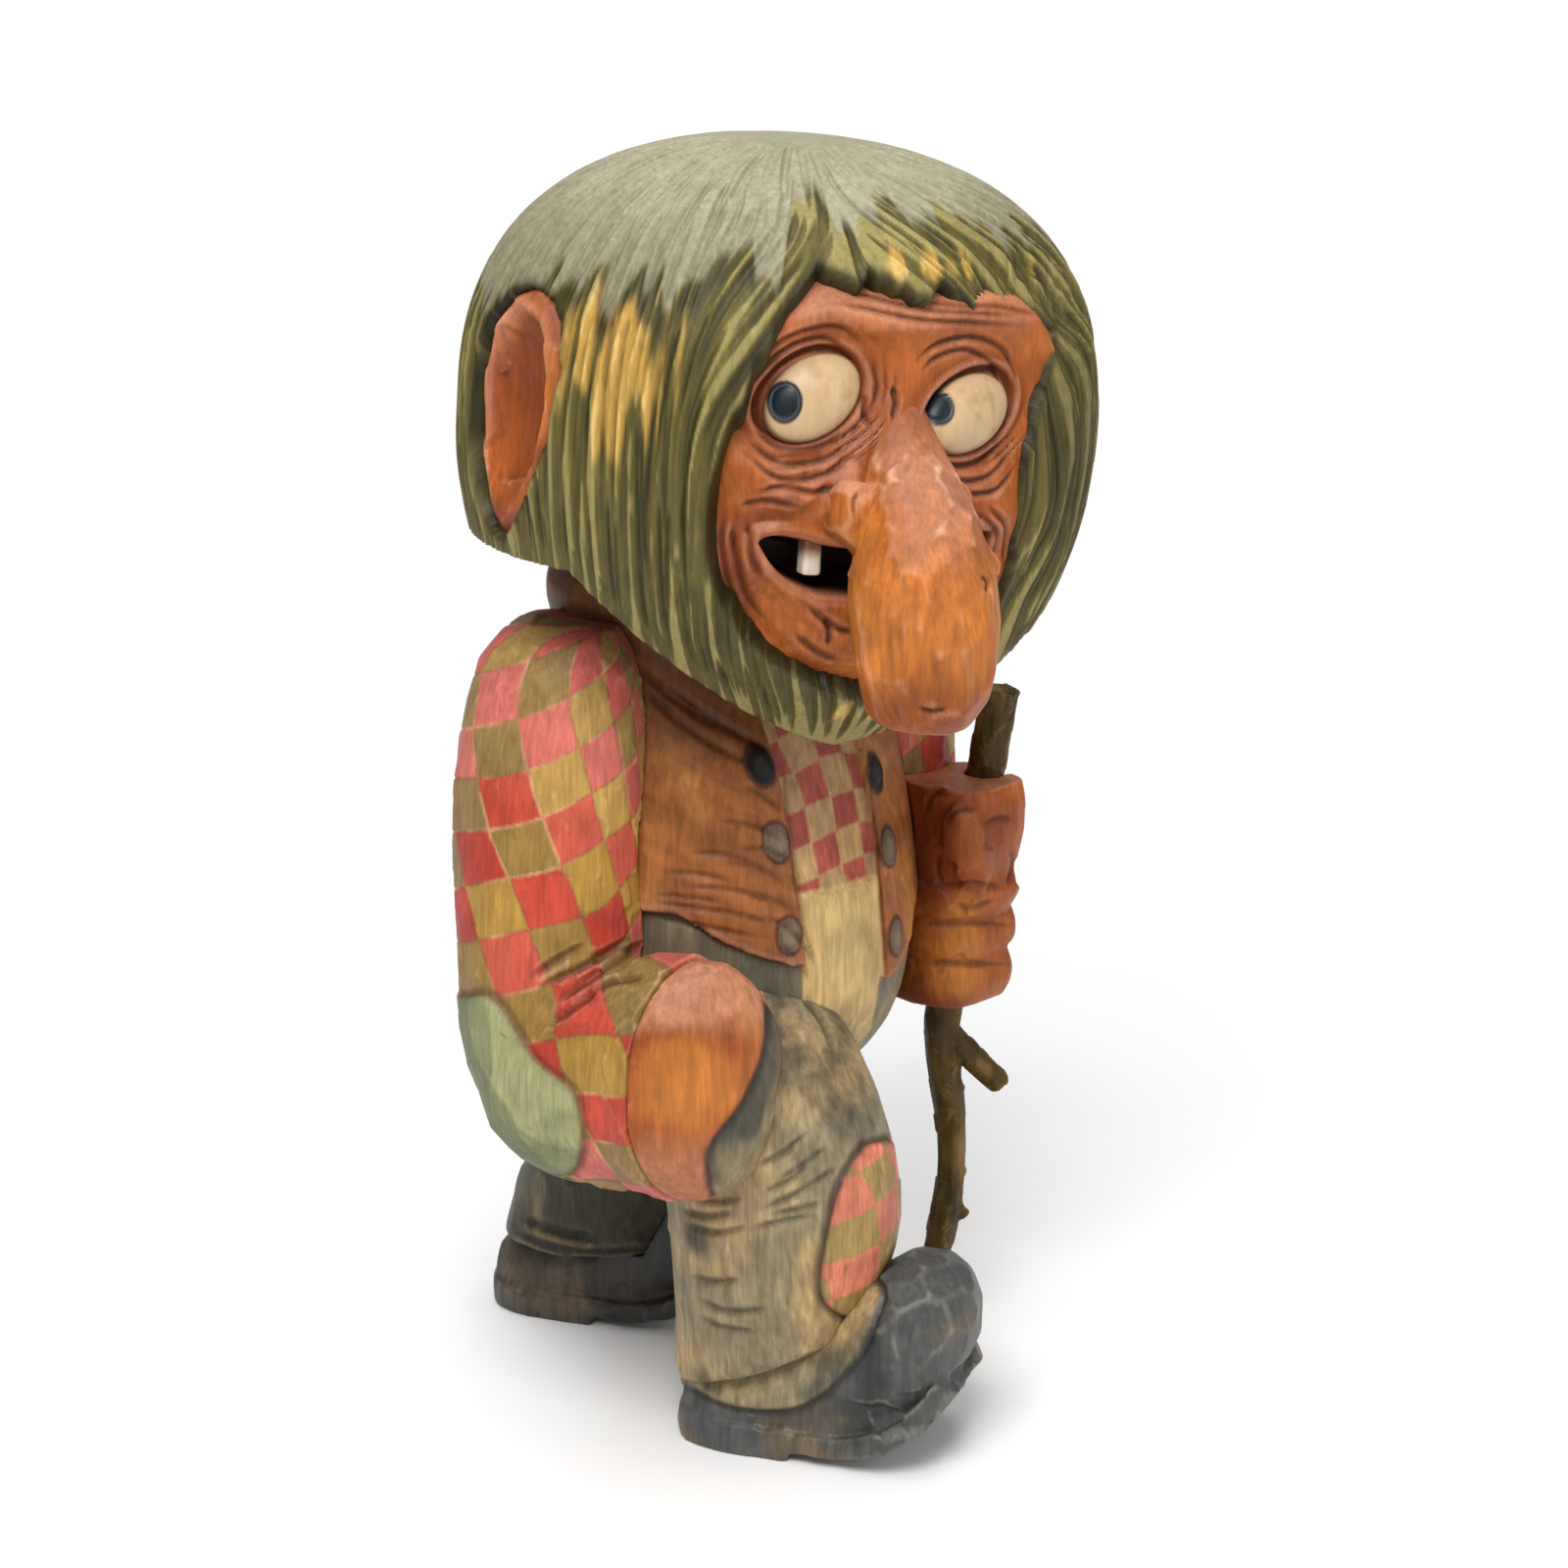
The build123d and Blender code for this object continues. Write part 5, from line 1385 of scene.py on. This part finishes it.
class Shading:
    """Nodes of a material or of the world. Inputs are values or outputs of other nodes."""

    def __init__(self, owner):
        owner.use_nodes = True
        self.nodes = owner.node_tree.nodes
        self.links = owner.node_tree.links

    def wire(self, node, inputs):
        """Sets or links inputs, named or numbered."""
        for key, value in inputs.items():
            if isinstance(value, bpy.types.NodeSocket):
                self.links.new(value, node.inputs[key])
            else:
                node.inputs[key].default_value = value

    def add(self, kind, inputs, output, **settings):
        """New node with some settings. Gives one of its outputs."""
        node = self.nodes.new("ShaderNode" + kind)
        for key, value in settings.items():
            setattr(node, key, value)
        self.wire(node, inputs)
        return node.outputs[output]

    def tones(self, value, stops):
        """Colour that runs between two stops, each a place and a colour."""
        node = self.nodes.new("ShaderNodeValToRGB")
        for element, (place, colour) in zip(node.color_ramp.elements, stops):
            element.position = place
            element.color = (*colour, 1)
        self.links.new(value, node.inputs["Fac"])
        return node.outputs["Color"]


def stained_wood(name, gloss, grain, rings, ring_turn=(0.0, 0.0, 0.0), pores=0.2, shine=0.2):
    """Stained, waxed limewood: the stain of each point, fine grain, growth rings and a soft sheen."""
    material = bpy.data.materials.new(name)
    net = Shading(material)
    place = net.add("TexCoord", {}, "Object")
    stretch = net.add("Mapping", {"Vector": place, "Scale": GRAIN_ALONG, "Rotation": ring_turn}, "Vector")
    fine = {"Vector": stretch, "Scale": 1.0, "Detail": 6.0, "Roughness": 0.65}
    fibres = net.add("TexNoise", fine, "Fac")
    spin = net.add("Mapping", {"Vector": place, "Rotation": ring_turn}, "Vector")
    wave = {"Vector": spin, "Scale": RING_SCALE, "Distortion": 3.5, "Detail": 2.0, "Detail Scale": 0.35}
    growth = net.add("TexWave", wave, "Fac", wave_type="RINGS", rings_direction="Z")
    span = {"Value": fibres, "From Min": 0.3, "From Max": 0.7, "To Min": 1.0 - grain, "To Max": 1.0 + grain}
    fibre_shade = net.add("MapRange", span, "Result")
    span = {"Value": growth, "To Min": 1.0 - rings, "To Max": 1.0 + 0.4 * rings}
    ring_shade = net.add("MapRange", span, "Result")
    both = net.add("Math", {0: fibre_shade, 1: ring_shade}, "Value", operation="MULTIPLY")
    colour = net.add("Attribute", {}, "Color", attribute_name="stain")
    span = {"Value": fibres, "To Min": gloss - 0.07, "To Max": gloss + 0.1}
    bump = {"Height": fibres, "Strength": pores, "Distance": PORE_DEPTH}
    net.wire(net.nodes["Principled BSDF"], {
        "Base Color": net.add("VectorMath", {0: colour, "Scale": both}, "Vector", operation="SCALE"),
        "Roughness": net.add("MapRange", span, "Result"),
        "Specular IOR Level": shine,
        "Normal": net.add("Bump", bump, "Normal"),
    })
    return material


def bare_wood(name):
    """Unstained beech of the hidden dowels."""
    material = bpy.data.materials.new(name)
    net = Shading(material)
    place = net.add("TexCoord", {}, "Object")
    stretch = net.add("Mapping", {"Vector": place, "Scale": DOWEL_GRAIN}, "Vector")
    fibres = net.add("TexNoise", {"Vector": stretch, "Scale": 1.0, "Detail": 5.0}, "Fac")
    tone = net.tones(fibres, ((0.3, stain(186, 142, 96)), (0.7, stain(222, 184, 136))))
    net.wire(net.nodes["Principled BSDF"], {"Base Color": tone, "Roughness": 0.62})
    return material


# Stage

FLOOR_SIZE = 12.0
FLOOR_WHITE_FROM = 0.12
FLOOR_WHITE_TO = 0.4
PAPER_TONES = ((0.0, (0.93, 0.93, 0.93)), (1.0, (0.95, 0.95, 0.95)))
SOFT_LIGHT = 0.34
LAMP_HEIGHT = 1.25
LAMP_AIM = (0, 0, 0.15)


def put_camera():
    data = bpy.data.cameras.new("photo_camera")
    data.sensor_width = 36.0
    data.sensor_fit = "HORIZONTAL"
    data.lens = data.sensor_width * FOCAL_PX / FRAME_PX
    data.shift_y = (CENTRE_PX[1] - FRAME_PX / 2) / FRAME_PX
    data.clip_start = 0.02
    camera = put("photo_camera", data)
    turn = Matrix((RIGHTWARD, UPWARD, -FORWARD)).transposed().to_4x4()
    camera.matrix_world = Matrix.Translation(Vector((EYE_POINT + SHIFT) * MM)) @ turn
    bpy.context.scene.camera = camera


def put_lamp(name, place, size, power):
    data = bpy.data.lights.new(name, "AREA")
    data.shape = "SQUARE"
    data.size = size
    data.energy = power
    lamp = put(name, data)
    lamp.location = place
    lamp.rotation_euler = (Vector(LAMP_AIM) - Vector(place)).to_track_quat("-Z", "Y").to_euler()


def put_floor():
    """White paper that takes shadows near the figure and fades to plain white for the camera."""
    bm = bmesh.new()
    bmesh.ops.create_grid(bm, x_segments=1, y_segments=1, size=FLOOR_SIZE / 2)
    mesh = bpy.data.meshes.new("floor")
    bm.to_mesh(mesh)
    bm.free()
    material = bpy.data.materials.new("white_paper")
    mesh.materials.append(material)
    net = Shading(material)
    place = net.add("TexCoord", {}, "Object")
    fleck = net.add("TexNoise", {"Vector": place, "Scale": 40.0}, "Fac")
    paper = net.nodes["Principled BSDF"]
    tone = net.tones(fleck, PAPER_TONES)
    net.wire(paper, {"Base Color": tone, "Roughness": 0.9, "Specular IOR Level": 0.1})
    away = net.add("VectorMath", {0: place}, "Value", operation="LENGTH")
    span = {"Value": away, "From Min": FLOOR_WHITE_FROM, "From Max": FLOOR_WHITE_TO}
    fade = net.add("MapRange", span, "Result", interpolation_type="SMOOTHSTEP")
    camera_ray = net.add("LightPath", {}, "Is Camera Ray")
    seen = net.add("Math", {0: fade, 1: camera_ray}, "Value", operation="MULTIPLY")
    white = net.add("Emission", {"Color": WHITE}, "Emission")
    mix = net.add("MixShader", {"Fac": seen, 1: paper.outputs["BSDF"], 2: white}, "Shader")
    net.wire(net.nodes["Material Output"], {"Surface": mix})
    floor = put("floor", mesh)


def put_world():
    """White studio: plain soft light from all sides, and white where the camera looks past the floor."""
    world = bpy.data.worlds.new("studio")
    bpy.context.scene.world = world
    net = Shading(world)
    soft = net.nodes["Background"]
    net.wire(soft, {"Color": WHITE, "Strength": SOFT_LIGHT})
    white = net.add("Background", {"Color": WHITE, "Strength": 1.0}, "Background")
    camera_ray = net.add("LightPath", {}, "Is Camera Ray")
    mix = net.add("MixShader", {"Fac": camera_ray, 1: soft.outputs["Background"], 2: white}, "Shader")
    net.wire(net.nodes["World Output"], {"Surface": mix})


# Build

hair_wood = stained_wood("moss_wood", 0.46, 0.24, 0.03)
skin_wood = stained_wood("skin_wood", 0.42, 0.22, 0.06, (0.2, 0.12, 0.0))
cloth_wood = stained_wood("cloth_wood", 0.44, 0.24, 0.05, (0.12, -0.1, 0.0))
leg_wood = stained_wood("leg_wood", 0.46, 0.28, 0.07, (0.1, 0.15, 0.0))
shoe_wood = stained_wood("shoe_wood", 0.42, 0.28, 0.05, (1.3, 0.2, 0.0), shine=0.4)
staff_wood = stained_wood("staff_wood", 0.5, 0.26, 0.03, (0.1, 0.11, 0.0))
paint = stained_wood("eye_paint", 0.34, 0.06, 0.02, pores=0.03, shine=0.3)
dowel_wood = bare_wood("dowel_wood")

hair().finish(hair_wood, "head", "hair_wood")
face().finish(skin_wood, None, "skin_wood")
nose().finish(skin_wood, "nose", "skin_wood")
eye(-1, "right_eye_dome", (802, 410)).finish(paint, "right_eye", "eye_paint", brushed=0.05)
eye(1, "left_eye_dome", (965, 412)).finish(paint, "left_eye", "eye_paint", brushed=0.05)
tooth().finish(paint, "tooth", "tooth_paint", brushed=0.05)
ear("right_ear", "right_ear_shell").finish(skin_wood, "right_ear", "skin_wood")
ear("left_ear", "left_ear_shell").finish(skin_wood, "left_ear", "skin_wood")
trunk().finish(cloth_wood, "torso", "waistcoat_wood", brushed=0.2)
right_sleeve().finish(cloth_wood, "right_arm", "sleeve_wood")
left_sleeve().finish(cloth_wood, "left_arm", "sleeve_wood")
hand().finish(skin_wood, "right_hand", "skin_wood")
fist().finish(skin_wood, "left_fist", "skin_wood")
near_leg().finish(leg_wood, "right_leg", "trouser_wood", brushed=0.22)
far_leg().finish(leg_wood, "left_leg", "trouser_wood", brushed=0.22)
shoe("right_shoe", "near_shoe", 161, 0.0, CUFF_PX).finish(shoe_wood, "right_shoe", "shoe_wood", brushed=0.3)
shoe("left_shoe", "far_shoe", 166, 0.5).finish(shoe_wood, "left_shoe", "shoe_wood", brushed=0.3)
staff().finish(staff_wood, "staff", "staff_wood", "staff", 0.3)

for name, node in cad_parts.items():
    if "_dowel" in name:
        node.data.materials.clear()
        node.data.materials.append(dowel_wood)

put_camera()
put_floor()
put_world()
put_lamp("key", (-0.75, -0.55, LAMP_HEIGHT), 0.7, 17.0)
put_lamp("top", (0.1, 0.1, LAMP_HEIGHT), 1.0, 7.5)
put_lamp("fill", (0.3, -1.2, 0.6), 0.9, 4.0)
bpy.context.scene.view_settings.view_transform = "Standard"
